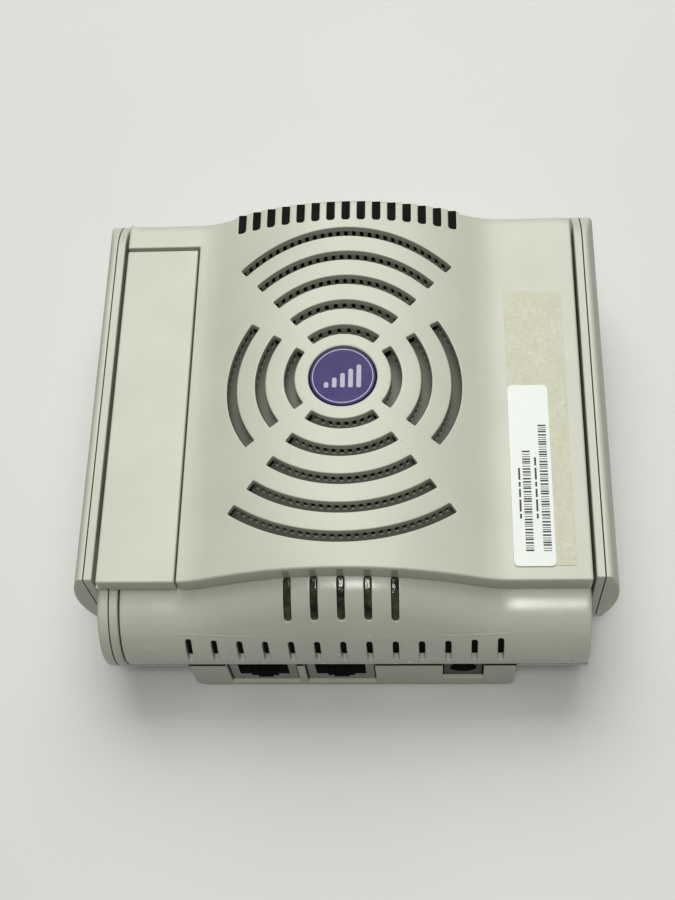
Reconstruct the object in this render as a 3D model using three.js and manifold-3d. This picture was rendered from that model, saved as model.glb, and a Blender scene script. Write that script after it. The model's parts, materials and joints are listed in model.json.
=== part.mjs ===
// Indoor wireless access point with three antennas that fold out of its casing.
//
// Frame: millimetres, X across the front, Y from the socket side to the back, Z up.
// The origin is on the surface it stands on, under the middle of the folded object.

import * as THREE from 'three';
import { mergeVertices } from 'three/addons/utils/BufferGeometryUtils.js';
import Module from 'manifold-3d';

const wasm = await Module();
wasm.setup();

// ---------------------------------------------------------------- driving dimensions

const GAP = 0.3;                 // clearance between neighbouring pieces
const WALL = 2.0;                // casing wall

const BODY_HALF = 55.8;          // half the casing's width
const COVER_FRONT = -45.2;
const COVER_BACK = 52.8;
const CROWN = 48;                // top of the dome
const SHOULDER = 39.5;           // level of the flat sides of the top
const DOME_RADIUS = 68.7;        // the dome curves across X only
const DOME_EDGE = 30;            // where the dome starts to run out into the shoulder
const FLAT_START = 38;           // where the flat shoulder starts
const LIP = 5.2;                 // height of the cover's front edge
const COVER_SKIN = 2.2;
const COVER_SKIRT = 32.2;        // lower edge of the cover's side and back walls

const GRILLE_Y = 2.7;            // centre of the badge and of the grille rings
const BADGE_RADIUS = 7.75;
const BADGE_DEPTH = 1.3;
const RING_FIRST = 11.33;        // inner radius of the first grille ring
const RING_PITCH = 7.0;
const RING_WIDTH = 2.49;
const LONG_RINGS = 5;            // rings in the front and back sectors
const SHORT_RINGS = 3;           // rings in the side sectors
const LONG_HALF_ANGLE = 38.4;    // degrees, front and back sectors
const SHORT_HALF_ANGLE = 36.5;   // degrees, side sectors
const RING_SEGMENTS = 7;
const BAFFLE_DEPTH = 4.6;        // the baffle plate's top, below the cover's top
const BAFFLE_THICK = 1.4;
const BAFFLE_FRONT = -40.3;
const BAFFLE_BACK = 44.5;

const BACK_SLOTS = 15;
const BACK_SLOT_PITCH = 3.76;
const BACK_SLOT_WIDTH = 2.0;
const BACK_SLOT_REACH = 5.9;

const BARREL_Y = -43.7;          // axis of the round front edge and of the top antenna's hinge
const BARREL_Z = 20.5;
const BARREL_RADIUS = 13.8;
const BARREL_WALL = 1.8;
const SEAM = 16.8;               // joint between the middle housing and the base tray
const RIB_Y = -40.7;             // back of the rib that closes the round front edge

const VENTS = 13;
const VENT_PITCH = 5.93;
const VENT_WIDTH = 1.4;
const VENT_LOW = 21.0;
const VENT_HIGH = 28.5;          // upper end of the vents beside the dome; those under it are longer
const VENT_RISE = 0.18;          // how much of the dome's lift a vent's upper end follows

const LIGHTS = 5;
const LIGHT_PITCH = 6.0;
const LIGHT_WIDTH = 1.7;
const LIGHT_BACK = -45.0;
const LIGHT_FRONT = -53.3;
const LIGHT_SINK = 0.8;          // the light pipes lie this far under the surface

const BASE_LOW = 0.8;            // underside of the base; the feet reach down to zero
const BASE_LEFT = -37.2;
const BASE_RIGHT = 39.6;
const BASE_FRONT = -56.9;
const BASE_BACK = 47;
const WING_LOW = 6.8;            // underside of the raised sides of the base
const TRAY_WALL = 2.0;

const FOOT_PLACES = [[-29, -45], [31, -45], [-29, 38], [31, 38]];
const FOOT_RADIUS = 5.5;
const FOOT_SINK = 0.8;           // depth of the feet's seats in the underside
const SCREW_PLACES = [[-45, -32], [46, -36], [-45, 36], [46, 36]];
const SCREW_HEAD = 3.0;          // radius of the heads' seats
const SCREW_SHANK = 1.5;
const SCREW_SEAT = WING_LOW + 1.2;
const POST_PLACES = [[-42, -25], [43, -25], [-42, 27], [43, 27]];
const POST_RADIUS = 3.2;
const POST_SCREW = 1.3;          // radius of the screws that hold the board on its posts

const JACK_WIDTH = 16;
const JACK_HEIGHT = 13.2;
const JACK_DEPTH = 21;
const JACK_LOW = 2.7;
const JACK_SINK = 0.9;           // the sockets lie this far behind the front face
const JACK_X = [-20.1, -1.7];
const PLUG_DEPTH = 13;
// Half width, lower level and upper level of each step of a plug opening, measured down from the roof.
const PLUG_STEPS = [[5.9, 9.3, 2.3], [3.2, 10.6, 9.2], [1.8, 11.9, 10.5]];
const POWER_X = 27.3;
const POWER_WIDTH = 9;
const POWER_HEIGHT = 11;
const POWER_DEPTH = 14;
const POWER_HOLE = 3.1;
const POWER_PIN = 1.0;

const BOARD_LOW = 17.0;
const BOARD_THICK = 1.6;
const BOARD_HALF = 47;
const BOARD_FRONT = -51;
const BOARD_BACK = 45;
const BOARD_HIGH = BOARD_LOW + BOARD_THICK;

const ANTENNA_INNER = 56.5;      // |x| of the face beside the casing
const ANTENNA_SEAM = 58.5;       // |x| of the joint between the two halves
const ANTENNA_FRONT = -44.6;
const ANTENNA_TOP = 39.5;
const ANTENNA_LOW = 14.0;
const ANTENNA_RADIUS = (ANTENNA_TOP - ANTENNA_LOW) / 2;
const SIDE_HINGE_Y = 45.3;
const SIDE_HINGE_Z = ANTENNA_LOW + ANTENNA_RADIUS;
const ANTENNA_WALL = 1.3;
const ANTENNA_FLOOR = 1.1;       // thickness of the wall beside the casing
const BULGE_X = 65.3;            // the outer face curves towards this point
const BULGE_Z = 26.5;
const BULGE_LOW_X = 60.2;        // |x| where the outer face starts, above its lower edge
const BULGE_TOP_X = 60.1;
const EDGE_LOW_X = 59.4;
const EDGE_TOP_X = 59.2;
const SIDE_HUB_RADIUS = 7;

const BLADE_LEFT = -55.7;
const BLADE_RIGHT = -37.7;
const BLADE_BACK = 44.6;
const BLADE_LOW = 34.7;
const BLADE_SEAM = 36.0;
const RECESS_RIGHT = -37.3;
const RECESS_BACK = 45.5;
const RECESS_FLOOR = 34.2;
const HUB_RADIUS = 14;
const HUB_OUTER = -56.2;
const HUB_SEAM = -53.5;
const HUB_INNER = -51.4;
const NOTCH_X = -51.1;           // the casing is cut away outside this for the hub
const NOTCH_BACK = -29.2;
const NECK_BACK = -33.3;

const PIN_RADIUS = 3.0;
const BUSH_RADIUS = 4.0;
const FLANGE_RADIUS = 5.1;
const PIN_END = 3.4;             // how far the pins reach past the casing's wall
const COLLAR = 1.2;              // length of the pins' collars
const COLLAR_RADIUS = 4.6;
const BUSH_LENGTH = 1.3;         // how far the bushes reach past the casing's wall
const FLANGE_END = 1.9;
const LEAD_RADIUS = 0.6;         // the coaxial leads inside

// Left, right, front, back.
const RESIDUE_PATCH = [38.4, 52.3, -41.8, 30.2];
const PRODUCT_LABEL = [38.4, 47.8, -42, 3.9];

// ---------------------------------------------------------------- materials

const paint = (color, roughness, metalness = 0) =>
  new THREE.MeshStandardMaterial({ color, roughness, metalness });

const CASING = () => paint(0xd5d3c8, 0.45);
const SMOOTH_CASING = () => paint(0xd0cec4, 0.35);
const DARK_PLASTIC = () => paint(0x2b2c2e, 0.5);
const CLEAR = () => paint(0x5a5c58, 0.15);
const METAL = () => paint(0xb9bbbd, 0.3, 1);
const BRASS = () => paint(0xb39a5c, 0.35, 1);
const BOARD_GREEN = () => paint(0x1f5a3a, 0.5);
const CHIP = () => paint(0x232427, 0.6);
const RUBBER = () => paint(0x2a2a2b, 0.9);
const BADGE_PURPLE = () => paint(0x5f508c, 0.35);
const LABEL_WHITE = () => paint(0xeeeee9, 0.6);
const RESIDUE = () => paint(0xc6b792, 0.8);

// ---------------------------------------------------------------- solids

function toSolid(geometry) {
  const plain = geometry.index ? geometry.clone() : geometry;
  plain.deleteAttribute('normal');
  plain.deleteAttribute('uv');
  const merged = mergeVertices(plain, 1e-4);
  return new wasm.Manifold(new wasm.Mesh({
    numProp: 3,
    vertProperties: new Float32Array(merged.attributes.position.array),
    triVerts: new Uint32Array(merged.index.array),
  }));
}

function toGeometry(solid) {
  const { vertProperties, triVerts } = solid.getMesh();
  const geometry = new THREE.BufferGeometry();
  geometry.setAttribute('position', new THREE.BufferAttribute(vertProperties, 3));
  geometry.setIndex(new THREE.BufferAttribute(triVerts, 1));
  return geometry;
}

const joined = (first, ...rest) => rest.reduce((sum, next) => sum.add(next), first);
const less = (first, ...rest) => rest.reduce((sum, next) => sum.subtract(next), first);

function box(x0, x1, y0, y1, z0, z1) {
  const geometry = new THREE.BoxGeometry(x1 - x0, y1 - y0, z1 - z0);
  geometry.translate((x0 + x1) / 2, (y0 + y1) / 2, (z0 + z1) / 2);
  return toSolid(geometry);
}

const outline = points => new THREE.Shape(points.map(([u, v]) => new THREE.Vector2(u, v)));

function extruded(shape, depth, curveSegments) {
  return new THREE.ExtrudeGeometry(shape, { depth, bevelEnabled: false, steps: 1, curveSegments });
}

// An outline in (x, y), raised from z0 to z1.
function alongZ(shape, z0, z1, curveSegments = 8) {
  const geometry = extruded(shape, z1 - z0, curveSegments);
  geometry.translate(0, 0, z0);
  return toSolid(geometry);
}

// An outline in (x, z), run from y0 to y1.
function alongY(shape, y0, y1, curveSegments = 8) {
  const geometry = extruded(shape, y1 - y0, curveSegments);
  geometry.rotateX(Math.PI / 2);
  geometry.translate(0, y1, 0);
  return toSolid(geometry);
}

// An outline in (y, z), run from x0 to x1.
function alongX(shape, x0, x1, curveSegments = 8) {
  const geometry = extruded(shape, x1 - x0, curveSegments);
  geometry.rotateX(Math.PI / 2);
  geometry.rotateZ(Math.PI / 2);
  geometry.translate(x0, 0, 0);
  return toSolid(geometry);
}

function discZ(x, y, radius, z0, z1, sides = 24) {
  const geometry = new THREE.CylinderGeometry(radius, radius, z1 - z0, sides);
  geometry.rotateX(Math.PI / 2);
  geometry.translate(x, y, (z0 + z1) / 2);
  return toSolid(geometry);
}

function discX(y, z, radius, x0, x1, sides = 24) {
  const geometry = new THREE.CylinderGeometry(radius, radius, x1 - x0, sides);
  geometry.rotateZ(Math.PI / 2);
  geometry.translate((x0 + x1) / 2, y, z);
  return toSolid(geometry);
}

function discY(x, z, radius, y0, y1, sides = 24) {
  const geometry = new THREE.CylinderGeometry(radius, radius, y1 - y0, sides);
  geometry.translate(x, (y0 + y1) / 2, z);
  return toSolid(geometry);
}

// A closed body through outlines of (y, z) points, one at each x, all with equal counts.
function lofted(stations, section) {
  const rings = stations.map(x => section(x).map(([y, z]) => [x, y, z]));
  const count = rings[0].length;
  const position = rings.flat(2);
  const index = [];
  for (let r = 0; r + 1 < rings.length; r += 1) {
    for (let i = 0; i < count; i += 1) {
      const j = (i + 1) % count;
      const [a, b, c, d] = [r * count + i, r * count + j, (r + 1) * count + j, (r + 1) * count + i];
      index.push(a, b, c, a, c, d);
    }
  }
  const last = (rings.length - 1) * count;
  const flat = ring => ring.map(([, y, z]) => new THREE.Vector2(y, z));
  for (const [a, b, c] of THREE.ShapeUtils.triangulateShape(flat(rings[0]), [])) index.push(a, c, b);
  for (const [a, b, c] of THREE.ShapeUtils.triangulateShape(flat(rings.at(-1)), [])) {
    index.push(last + a, last + b, last + c);
  }
  const geometry = new THREE.BufferGeometry();
  geometry.setAttribute('position', new THREE.BufferAttribute(new Float32Array(position), 3));
  geometry.setIndex(index);
  return toSolid(geometry);
}

const device = new THREE.Group();

function add(name, solid, material) {
  const mesh = new THREE.Mesh(toGeometry(solid), material);
  mesh.name = name;
  device.add(mesh);
}

const centred = (count, pitch) => Array.from({ length: count }, (_, i) => (i - (count - 1) / 2) * pitch);
const radians = degrees => degrees * Math.PI / 180;

// ---------------------------------------------------------------- casing outlines

// Height of the top surface: a dome that runs out through a soft valley into flat shoulders.
function coverTop(x) {
  const a = Math.abs(x);
  if (a <= DOME_EDGE) return CROWN - a * a / (2 * DOME_RADIUS);
  if (a >= FLAT_START) return SHOULDER;
  const run = FLAT_START - DOME_EDGE;
  const t = (a - DOME_EDGE) / run;
  const start = CROWN - DOME_EDGE * DOME_EDGE / (2 * DOME_RADIUS);
  const slope = -DOME_EDGE / DOME_RADIUS * run;
  return start * (2 * t ** 3 - 3 * t ** 2 + 1) + slope * (t ** 3 - 2 * t ** 2 + t)
    + SHOULDER * (3 * t ** 2 - 2 * t ** 3);
}

function stationsAcross(half) {
  const right = [0, 6, 12, 18, 24, DOME_EDGE, 32.5, 35.5, FLAT_START].filter(x => x < half - 0.5);
  right.push(half);
  return [...right.slice(1).reverse().map(x => -x), ...right];
}

// The region under the top surface lowered by drop, down to low, as an outline in (x, z).
function underTop(half, drop, low) {
  const top = stationsAcross(half).map(x => [x, coverTop(x) - drop]);
  return outline([[half, low], ...top.reverse(), [-half, low]]);
}

const lipLow = x => coverTop(x) - LIP;
const barrelTop = x => lipLow(x) - GAP;

// A point of the round front edge, drawn in by inset: angle 0 is at the top, 90 at the front.
function barrelPoint(x, angle, inset = 0) {
  const reach = BARREL_RADIUS - inset;
  const rise = barrelTop(x) - inset - BARREL_Z;
  return [BARREL_Y - reach * Math.sin(radians(angle)), BARREL_Z + rise * Math.cos(radians(angle))];
}

const quarterTurn = Array.from({ length: 9 }, (_, i) => i * 11.25);

// ---------------------------------------------------------------- top cover

function ringSector(inner, width, middle, half, z0, z1) {
  const shape = new THREE.Shape();
  const from = radians(middle - half);
  const to = radians(middle + half);
  shape.absarc(0, GRILLE_Y, inner, from, to, false);
  shape.absarc(0, GRILLE_Y, inner + width, to, from, true);
  return alongZ(shape, z0, z1, RING_SEGMENTS);
}

function grilleSlots(z0, z1) {
  const slots = [];
  for (const [middle, half, count] of [[90, LONG_HALF_ANGLE, LONG_RINGS], [270, LONG_HALF_ANGLE, LONG_RINGS],
    [0, SHORT_HALF_ANGLE, SHORT_RINGS], [180, SHORT_HALF_ANGLE, SHORT_RINGS]]) {
    for (let ring = 0; ring < count; ring += 1) {
      const inner = RING_FIRST + ring * RING_PITCH;
      slots.push(ringSector(inner, RING_WIDTH, middle, half, z0, z1));
    }
  }
  return slots;
}

function topCover() {
  let cover = less(
    alongY(underTop(BODY_HALF, 0, COVER_SKIRT), COVER_FRONT, COVER_BACK),
    alongY(underTop(BODY_HALF - WALL, COVER_SKIN, COVER_SKIRT - 2), COVER_FRONT + WALL, COVER_BACK - WALL),
    alongY(underTop(BODY_HALF + 1, LIP, COVER_SKIRT - 2), COVER_FRONT - 1, RIB_Y + GAP),
    box(-BODY_HALF - 1, RECESS_RIGHT, COVER_FRONT - 1, RECESS_BACK, RECESS_FLOOR, CROWN),
  );
  const ledgeRight = RECESS_RIGHT + WALL;
  const ledgeBack = RECESS_BACK + WALL;
  cover = joined(
    cover,
    box(-BODY_HALF, ledgeRight, RIB_Y + GAP, ledgeBack, COVER_SKIRT, RECESS_FLOOR),
    box(RECESS_RIGHT, ledgeRight, COVER_FRONT + WALL / 2, ledgeBack, RECESS_FLOOR - 0.1, SHOULDER - 0.5),
    box(-BODY_HALF, ledgeRight, RECESS_BACK, ledgeBack, RECESS_FLOOR - 0.1, SHOULDER - 0.5),
  );
  cover = less(
    cover,
    box(-BODY_HALF - 1, NOTCH_X, COVER_FRONT - 1, NOTCH_BACK, COVER_SKIRT - 1, RECESS_FLOOR + 1),
    box(RECESS_RIGHT - 1, ledgeRight + 1, COVER_FRONT - 1, RIB_Y + GAP, COVER_SKIRT - 1, lipLow(FLAT_START)),
    discZ(0, GRILLE_Y, BADGE_RADIUS + GAP, CROWN - BADGE_DEPTH - GAP, CROWN + 1, 32),
    ...grilleSlots(SHOULDER - 4, CROWN + 1),
    ...centred(BACK_SLOTS, BACK_SLOT_PITCH).map(x => box(
      x - BACK_SLOT_WIDTH / 2, x + BACK_SLOT_WIDTH / 2,
      COVER_BACK - BACK_SLOT_REACH, COVER_BACK + 1, SHOULDER - 3, CROWN + 1,
    )),
  );
  return cover;
}

// A curved plate under the grille, which air passes over on its way to the ring slots.
function ventBaffle() {
  const half = FLAT_START - 4;
  return less(
    alongY(underTop(half, BAFFLE_DEPTH, SHOULDER - 7), BAFFLE_FRONT, BAFFLE_BACK),
    alongY(underTop(half + 1, BAFFLE_DEPTH + BAFFLE_THICK, SHOULDER - 9), BAFFLE_FRONT - 1, BAFFLE_BACK + 1),
  );
}

function badge() {
  const dome = alongY(underTop(FLAT_START, 0, SHOULDER), -FLAT_START, FLAT_START);
  return discZ(0, GRILLE_Y, BADGE_RADIUS, CROWN - BADGE_DEPTH, CROWN + 1, 32).intersect(dome);
}

add('top_cover', topCover(), CASING());
add('vent_baffle', ventBaffle(), CASING());
add('badge', badge(), BADGE_PURPLE());

// ---------------------------------------------------------------- middle housing

function middleHousing() {
  const skin = x => [
    [COVER_BACK, SEAM + GAP / 2], [COVER_BACK, COVER_SKIRT - GAP], [RIB_Y, COVER_SKIRT - GAP],
    [RIB_Y, barrelTop(x)], ...quarterTurn.map(angle => barrelPoint(x, angle)),
    [BARREL_Y - BARREL_RADIUS + 0.4, SEAM + GAP / 2],
  ];
  const hollow = x => [
    [COVER_BACK - WALL, SEAM - 2], [COVER_BACK - WALL, COVER_SKIRT - GAP + 0.1],
    [RIB_Y - WALL, COVER_SKIRT - GAP + 0.1], [RIB_Y - WALL, barrelTop(x) - BARREL_WALL],
    ...quarterTurn.map(angle => barrelPoint(x, angle, BARREL_WALL)),
    [BARREL_Y - BARREL_RADIUS + BARREL_WALL + 0.4, SEAM - 2],
  ];
  const inside = less(
    lofted(stationsAcross(BODY_HALF - WALL), hollow),
    box(-BODY_HALF, NOTCH_X + WALL, BASE_FRONT - 5, NOTCH_BACK + WALL, 0, CROWN),
  );
  const sideHole = x => discX(SIDE_HINGE_Y, SIDE_HINGE_Z, BUSH_RADIUS + GAP, x - 5, x + 5);
  const lights = centred(LIGHTS, LIGHT_PITCH).map(x => box(
    x - LIGHT_WIDTH / 2, x + LIGHT_WIDTH / 2, LIGHT_FRONT, LIGHT_BACK, BARREL_Z + 6, CROWN,
  ));
  const vents = centred(VENTS, VENT_PITCH).map(x => {
    const lift = coverTop(x) - SHOULDER;
    return box(x - VENT_WIDTH / 2, x + VENT_WIDTH / 2, BASE_FRONT - 3, BASE_FRONT + 6,
      VENT_LOW, VENT_HIGH + VENT_RISE * lift);
  });
  return less(
    lofted(stationsAcross(BODY_HALF), skin), inside,
    box(-BODY_HALF - 1, NOTCH_X, BASE_FRONT - 5, NOTCH_BACK, 0, CROWN),
    discX(BARREL_Y, BARREL_Z, BUSH_RADIUS + GAP, NOTCH_X - 1, NOTCH_X + WALL + 1),
    sideHole(-BODY_HALF), sideHole(BODY_HALF), ...lights, ...vents,
  );
}

add('middle_housing', middleHousing(), SMOOTH_CASING());

// ---------------------------------------------------------------- base tray

function roundedBlock(x0, x1, radius) {
  const shape = new THREE.Shape();
  shape.moveTo(x0, SEAM - GAP / 2);
  shape.lineTo(x0, BASE_LOW + radius);
  shape.absarc(x0 + radius, BASE_LOW + radius, radius, Math.PI, 1.5 * Math.PI, false);
  shape.lineTo(x1 - radius, BASE_LOW);
  shape.absarc(x1 - radius, BASE_LOW + radius, radius, 1.5 * Math.PI, 2 * Math.PI, false);
  shape.lineTo(x1, SEAM - GAP / 2);
  return shape;
}

// The raised sides of the base end in the lower half of the round front edge.
function wingSection(inset) {
  const radius = BARREL_RADIUS - GAP - inset;
  const level = SEAM - GAP / 2;
  const start = Math.asin((BARREL_Z - level) / radius);
  const shape = new THREE.Shape();
  shape.moveTo(COVER_BACK - inset, level + inset);
  shape.lineTo(BARREL_Y - radius * Math.cos(start), level + inset);
  shape.absarc(BARREL_Y, BARREL_Z, radius, Math.PI + start, 1.5 * Math.PI, false);
  shape.lineTo(COVER_BACK - 7 - inset, WING_LOW + inset);
  shape.absarc(COVER_BACK - 7 - inset, WING_LOW + 7 + inset, 7, 1.5 * Math.PI, 2 * Math.PI, false);
  return shape;
}

function baseTray() {
  const notch = box(-BODY_HALF - 1, NOTCH_X, BASE_FRONT - 5, NOTCH_BACK, 0, CROWN);
  const outer = joined(
    alongX(wingSection(0), -BODY_HALF, BODY_HALF),
    alongY(roundedBlock(BASE_LEFT, BASE_RIGHT, 3), BASE_FRONT, BASE_BACK, 4),
  );
  const hollow = joined(
    alongX(wingSection(TRAY_WALL), -BODY_HALF + TRAY_WALL, BODY_HALF - TRAY_WALL),
    box(BASE_LEFT + TRAY_WALL, BASE_RIGHT - TRAY_WALL, BASE_FRONT + TRAY_WALL, BASE_BACK - TRAY_WALL,
      BASE_LOW + 1.6, SEAM + 1),
  ).subtract(box(-BODY_HALF, NOTCH_X + WALL, BASE_FRONT - 5, NOTCH_BACK + WALL, 0, CROWN));
  const jackHoles = JACK_X.map(x => box(
    x - JACK_WIDTH / 2 - GAP, x + JACK_WIDTH / 2 + GAP, BASE_FRONT - 1, BASE_FRONT + TRAY_WALL + 1,
    JACK_LOW - GAP, SEAM + 1,
  ));
  const powerHole = box(
    POWER_X - POWER_WIDTH / 2 - GAP, POWER_X + POWER_WIDTH / 2 + GAP,
    BASE_FRONT - 1, BASE_FRONT + TRAY_WALL + 1, BOARD_LOW - POWER_HEIGHT - 2 * GAP, SEAM + 1,
  );
  const posts = POST_PLACES.map(([x, y]) => discZ(x, y, POST_RADIUS, WING_LOW + 1, BOARD_LOW - GAP, 12));
  return less(
    joined(less(outer, hollow, notch), ...posts), ...jackHoles, powerHole,
    discX(BARREL_Y, BARREL_Z, FLANGE_RADIUS + GAP, NOTCH_X - 1, NOTCH_X + WALL + 1),
    ...POST_PLACES.map(([x, y]) => discZ(x, y, POST_SCREW + GAP, BOARD_LOW - 6, BOARD_LOW, 10)),
    ...FOOT_PLACES.map(([x, y]) => discZ(x, y, FOOT_RADIUS + GAP, 0, BASE_LOW + FOOT_SINK, 20)),
    ...SCREW_PLACES.map(([x, y]) => discZ(x, y, SCREW_HEAD + GAP, 0, SCREW_SEAT, 16)),
    ...SCREW_PLACES.map(([x, y]) => discZ(x, y, SCREW_SHANK + GAP, 0, WING_LOW + 5, 12)),
  );
}

add('base_tray', baseTray(), CASING());

FOOT_PLACES.forEach(([x, y], i) => {
  add(`rubber_foot_${i + 1}`, discZ(x, y, FOOT_RADIUS, 0, BASE_LOW + FOOT_SINK - GAP, 20), RUBBER());
});

// A pan-head screw with a cross recess, pointing up through the raised side of the base.
SCREW_PLACES.forEach(([x, y], i) => {
  const headLow = WING_LOW + 0.1;
  const cross = joined(
    box(x - 1.7, x + 1.7, y - 0.35, y + 0.35, headLow - 1, headLow + 0.6),
    box(x - 0.35, x + 0.35, y - 1.7, y + 1.7, headLow - 1, headLow + 0.6),
  );
  const screw = joined(
    discZ(x, y, SCREW_HEAD - GAP, headLow, SCREW_SEAT - GAP, 16),
    discZ(x, y, SCREW_SHANK, headLow + 0.2, BOARD_LOW - GAP - 2, 12),
  );
  add(`case_screw_${i + 1}`, less(screw, cross), METAL());
});

// ---------------------------------------------------------------- main board and its parts

function mainBoard() {
  const shape = outline([
    [NOTCH_X + WALL + 1, NOTCH_BACK + WALL + 1], [-BOARD_HALF + 2, NOTCH_BACK + WALL + 1],
    [-BOARD_HALF + 2, BOARD_FRONT], [BOARD_HALF, BOARD_FRONT], [BOARD_HALF, BOARD_BACK],
    [NOTCH_X + WALL + 1, BOARD_BACK],
  ]);
  return less(
    alongZ(shape, BOARD_LOW, BOARD_HIGH),
    ...POST_PLACES.map(([x, y]) => discZ(x, y, POST_SCREW + GAP, BOARD_LOW - 1, BOARD_HIGH + 1, 10)),
  );
}

add('main_board', mainBoard(), BOARD_GREEN());

POST_PLACES.forEach(([x, y], i) => {
  const screw = joined(
    discZ(x, y, 2 * POST_SCREW, BOARD_HIGH + GAP, BOARD_HIGH + GAP + 1.4, 14),
    discZ(x, y, POST_SCREW, BOARD_LOW - 5, BOARD_HIGH + GAP + 0.2, 10),
  );
  add(`board_screw_${i + 1}`, screw, METAL());
});

function onBoard(name, x, y, width, depth, height, material) {
  const low = BOARD_HIGH + GAP;
  add(name, box(x - width / 2, x + width / 2, y - depth / 2, y + depth / 2, low, low + height), material);
}

onBoard('processor', 0, 2, 19, 19, 1.6, CHIP());
onBoard('memory_chip', 25, 6, 10, 13, 1.2, CHIP());
onBoard('rf_shield_1', -24, 31, 28, 22, 3, METAL());
onBoard('rf_shield_2', 24, 31, 28, 22, 3, METAL());
onBoard('lan_transformer', -10, -27, 26, 12, 5.5, CHIP());

// An extruded comb: a flat base with upright fins.
function heatSink(x, y, width, depth, low, high, fins) {
  const pitch = (width - 1.6) / (fins - 1);
  const left = x - width / 2;
  const floor = low + 2;
  const points = [[left, low], [left + width, low]];
  for (let i = fins - 1; i >= 0; i -= 1) {
    const fin = left + i * pitch;
    points.push([fin + 1.6, high], [fin, high]);
    if (i > 0) points.push([fin, floor], [fin - pitch + 1.6, floor]);
  }
  return alongY(outline(points), y - depth / 2, y + depth / 2);
}

add('heat_sink', heatSink(0, 2, 38, 34, BOARD_HIGH + 1.6 + 2 * GAP, BOARD_HIGH + 12, 8), METAL());

[[36, -30], [36, -41]].forEach(([x, y], i) => {
  add(`capacitor_${i + 1}`, discZ(x, y, 4, BOARD_HIGH + GAP, BOARD_HIGH + 10, 20), CHIP());
});

// A coaxial lead from a radio to the end of an antenna's hollow hinge pin.
function lead(name, points) {
  const path = new THREE.CatmullRomCurve3(points.map(([x, y, z]) => new THREE.Vector3(x, y, z)));
  const corners = Array.from({ length: 6 }, (_, i) => radians(60 * i));
  const section = outline(corners.map(a => [LEAD_RADIUS * Math.cos(a), LEAD_RADIUS * Math.sin(a)]));
  const options = { steps: 14, bevelEnabled: false, extrudePath: path };
  add(name, toSolid(new THREE.ExtrudeGeometry(section, options)), DARK_PLASTIC());
}

const sideLead = side => [
  [-49.6, 44.9, 26.8], [-46, 44.6, 26.4], [-41, 43, 24.6], [-36, 41, 23.1], [-31, 38, 22.9], [-27, 35, 22.9],
].map(([x, y, z]) => [-side * x, y, z]);

lead('left_antenna_lead', sideLead(-1));
lead('right_antenna_lead', sideLead(1));
lead('top_antenna_lead', [
  [-45.2, -43.7, 20.5], [-43, -42.8, 20.8], [-40.5, -38, 21.6], [-39, -25, 21.8], [-38, -10, 21.8],
  [-36, 5, 22.1], [-33, 17, 22.8], [-30, 24, 22.9],
]);

// ---------------------------------------------------------------- sockets

function ethernetJack(x) {
  const front = BASE_FRONT + JACK_SINK;
  const high = JACK_LOW + JACK_HEIGHT;
  const body = box(x - JACK_WIDTH / 2, x + JACK_WIDTH / 2, front, front + JACK_DEPTH, JACK_LOW, high);
  return less(body, ...PLUG_STEPS.map(([half, low, top]) => box(
    x - half, x + half, front - 1, front + PLUG_DEPTH, high - low, high - top,
  )));
}

JACK_X.forEach((x, i) => add(`ethernet_jack_${i + 1}`, ethernetJack(x), METAL()));

function powerJack() {
  const front = BASE_FRONT + JACK_SINK;
  const high = BOARD_LOW - GAP;
  const middle = high - POWER_HEIGHT / 2;
  return joined(
    less(
      box(POWER_X - POWER_WIDTH / 2, POWER_X + POWER_WIDTH / 2, front, front + POWER_DEPTH,
        high - POWER_HEIGHT, high),
      discY(POWER_X, middle, POWER_HOLE, front - 1, front + 10, 20),
    ),
    discY(POWER_X, middle, POWER_PIN, front + 1, front + 12, 12),
  );
}

add('power_jack', powerJack(), DARK_PLASTIC());

// ---------------------------------------------------------------- status lights

// A clear pipe that fills its slot under the surface and leads down to the board.
function lightPipe(x) {
  const half = LIGHT_WIDTH / 2 - GAP;
  const section = [
    ...quarterTurn.map(angle => barrelPoint(x, angle, LIGHT_SINK)),
    [BASE_FRONT + 10, BARREL_Z], [BASE_FRONT + 10, BARREL_Z + 8], [BARREL_Y, BARREL_Z + 8],
  ];
  const bar = box(x - half, x + half, LIGHT_FRONT + GAP, LIGHT_BACK - GAP, BARREL_Z + 6, CROWN);
  const head = alongX(outline(section), x - half, x + half).intersect(bar);
  const leg = box(x - half, x + half, LIGHT_BACK - 3, LIGHT_BACK - GAP, BOARD_HIGH + 1.7, BARREL_Z + 9);
  return joined(head, leg);
}

centred(LIGHTS, LIGHT_PITCH).forEach((x, i) => {
  add(`light_pipe_${i + 1}`, lightPipe(x), CLEAR());
  onBoard(`status_led_${i + 1}`, x, LIGHT_BACK - 1.6, 1.6, 1.6, 0.9, LABEL_WHITE());
});

// ---------------------------------------------------------------- labels

function sticker([x0, x1, y0, y1], z0, z1, radius) {
  const shape = new THREE.Shape();
  shape.absarc(x1 - radius, y1 - radius, radius, 0, 0.5 * Math.PI, false);
  shape.absarc(x0 + radius, y1 - radius, radius, 0.5 * Math.PI, Math.PI, false);
  shape.absarc(x0 + radius, y0 + radius, radius, Math.PI, 1.5 * Math.PI, false);
  shape.absarc(x1 - radius, y0 + radius, radius, 1.5 * Math.PI, 2 * Math.PI, false);
  return alongZ(shape, z0, z1, 4);
}

add('label_residue', sticker(RESIDUE_PATCH, SHOULDER + 0.04, SHOULDER + 0.12, 0.8), RESIDUE());
add('product_label', sticker(PRODUCT_LABEL, SHOULDER + 0.16, SHOULDER + 0.32, 1.2), LABEL_WHITE());

// ---------------------------------------------------------------- side antennas

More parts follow.
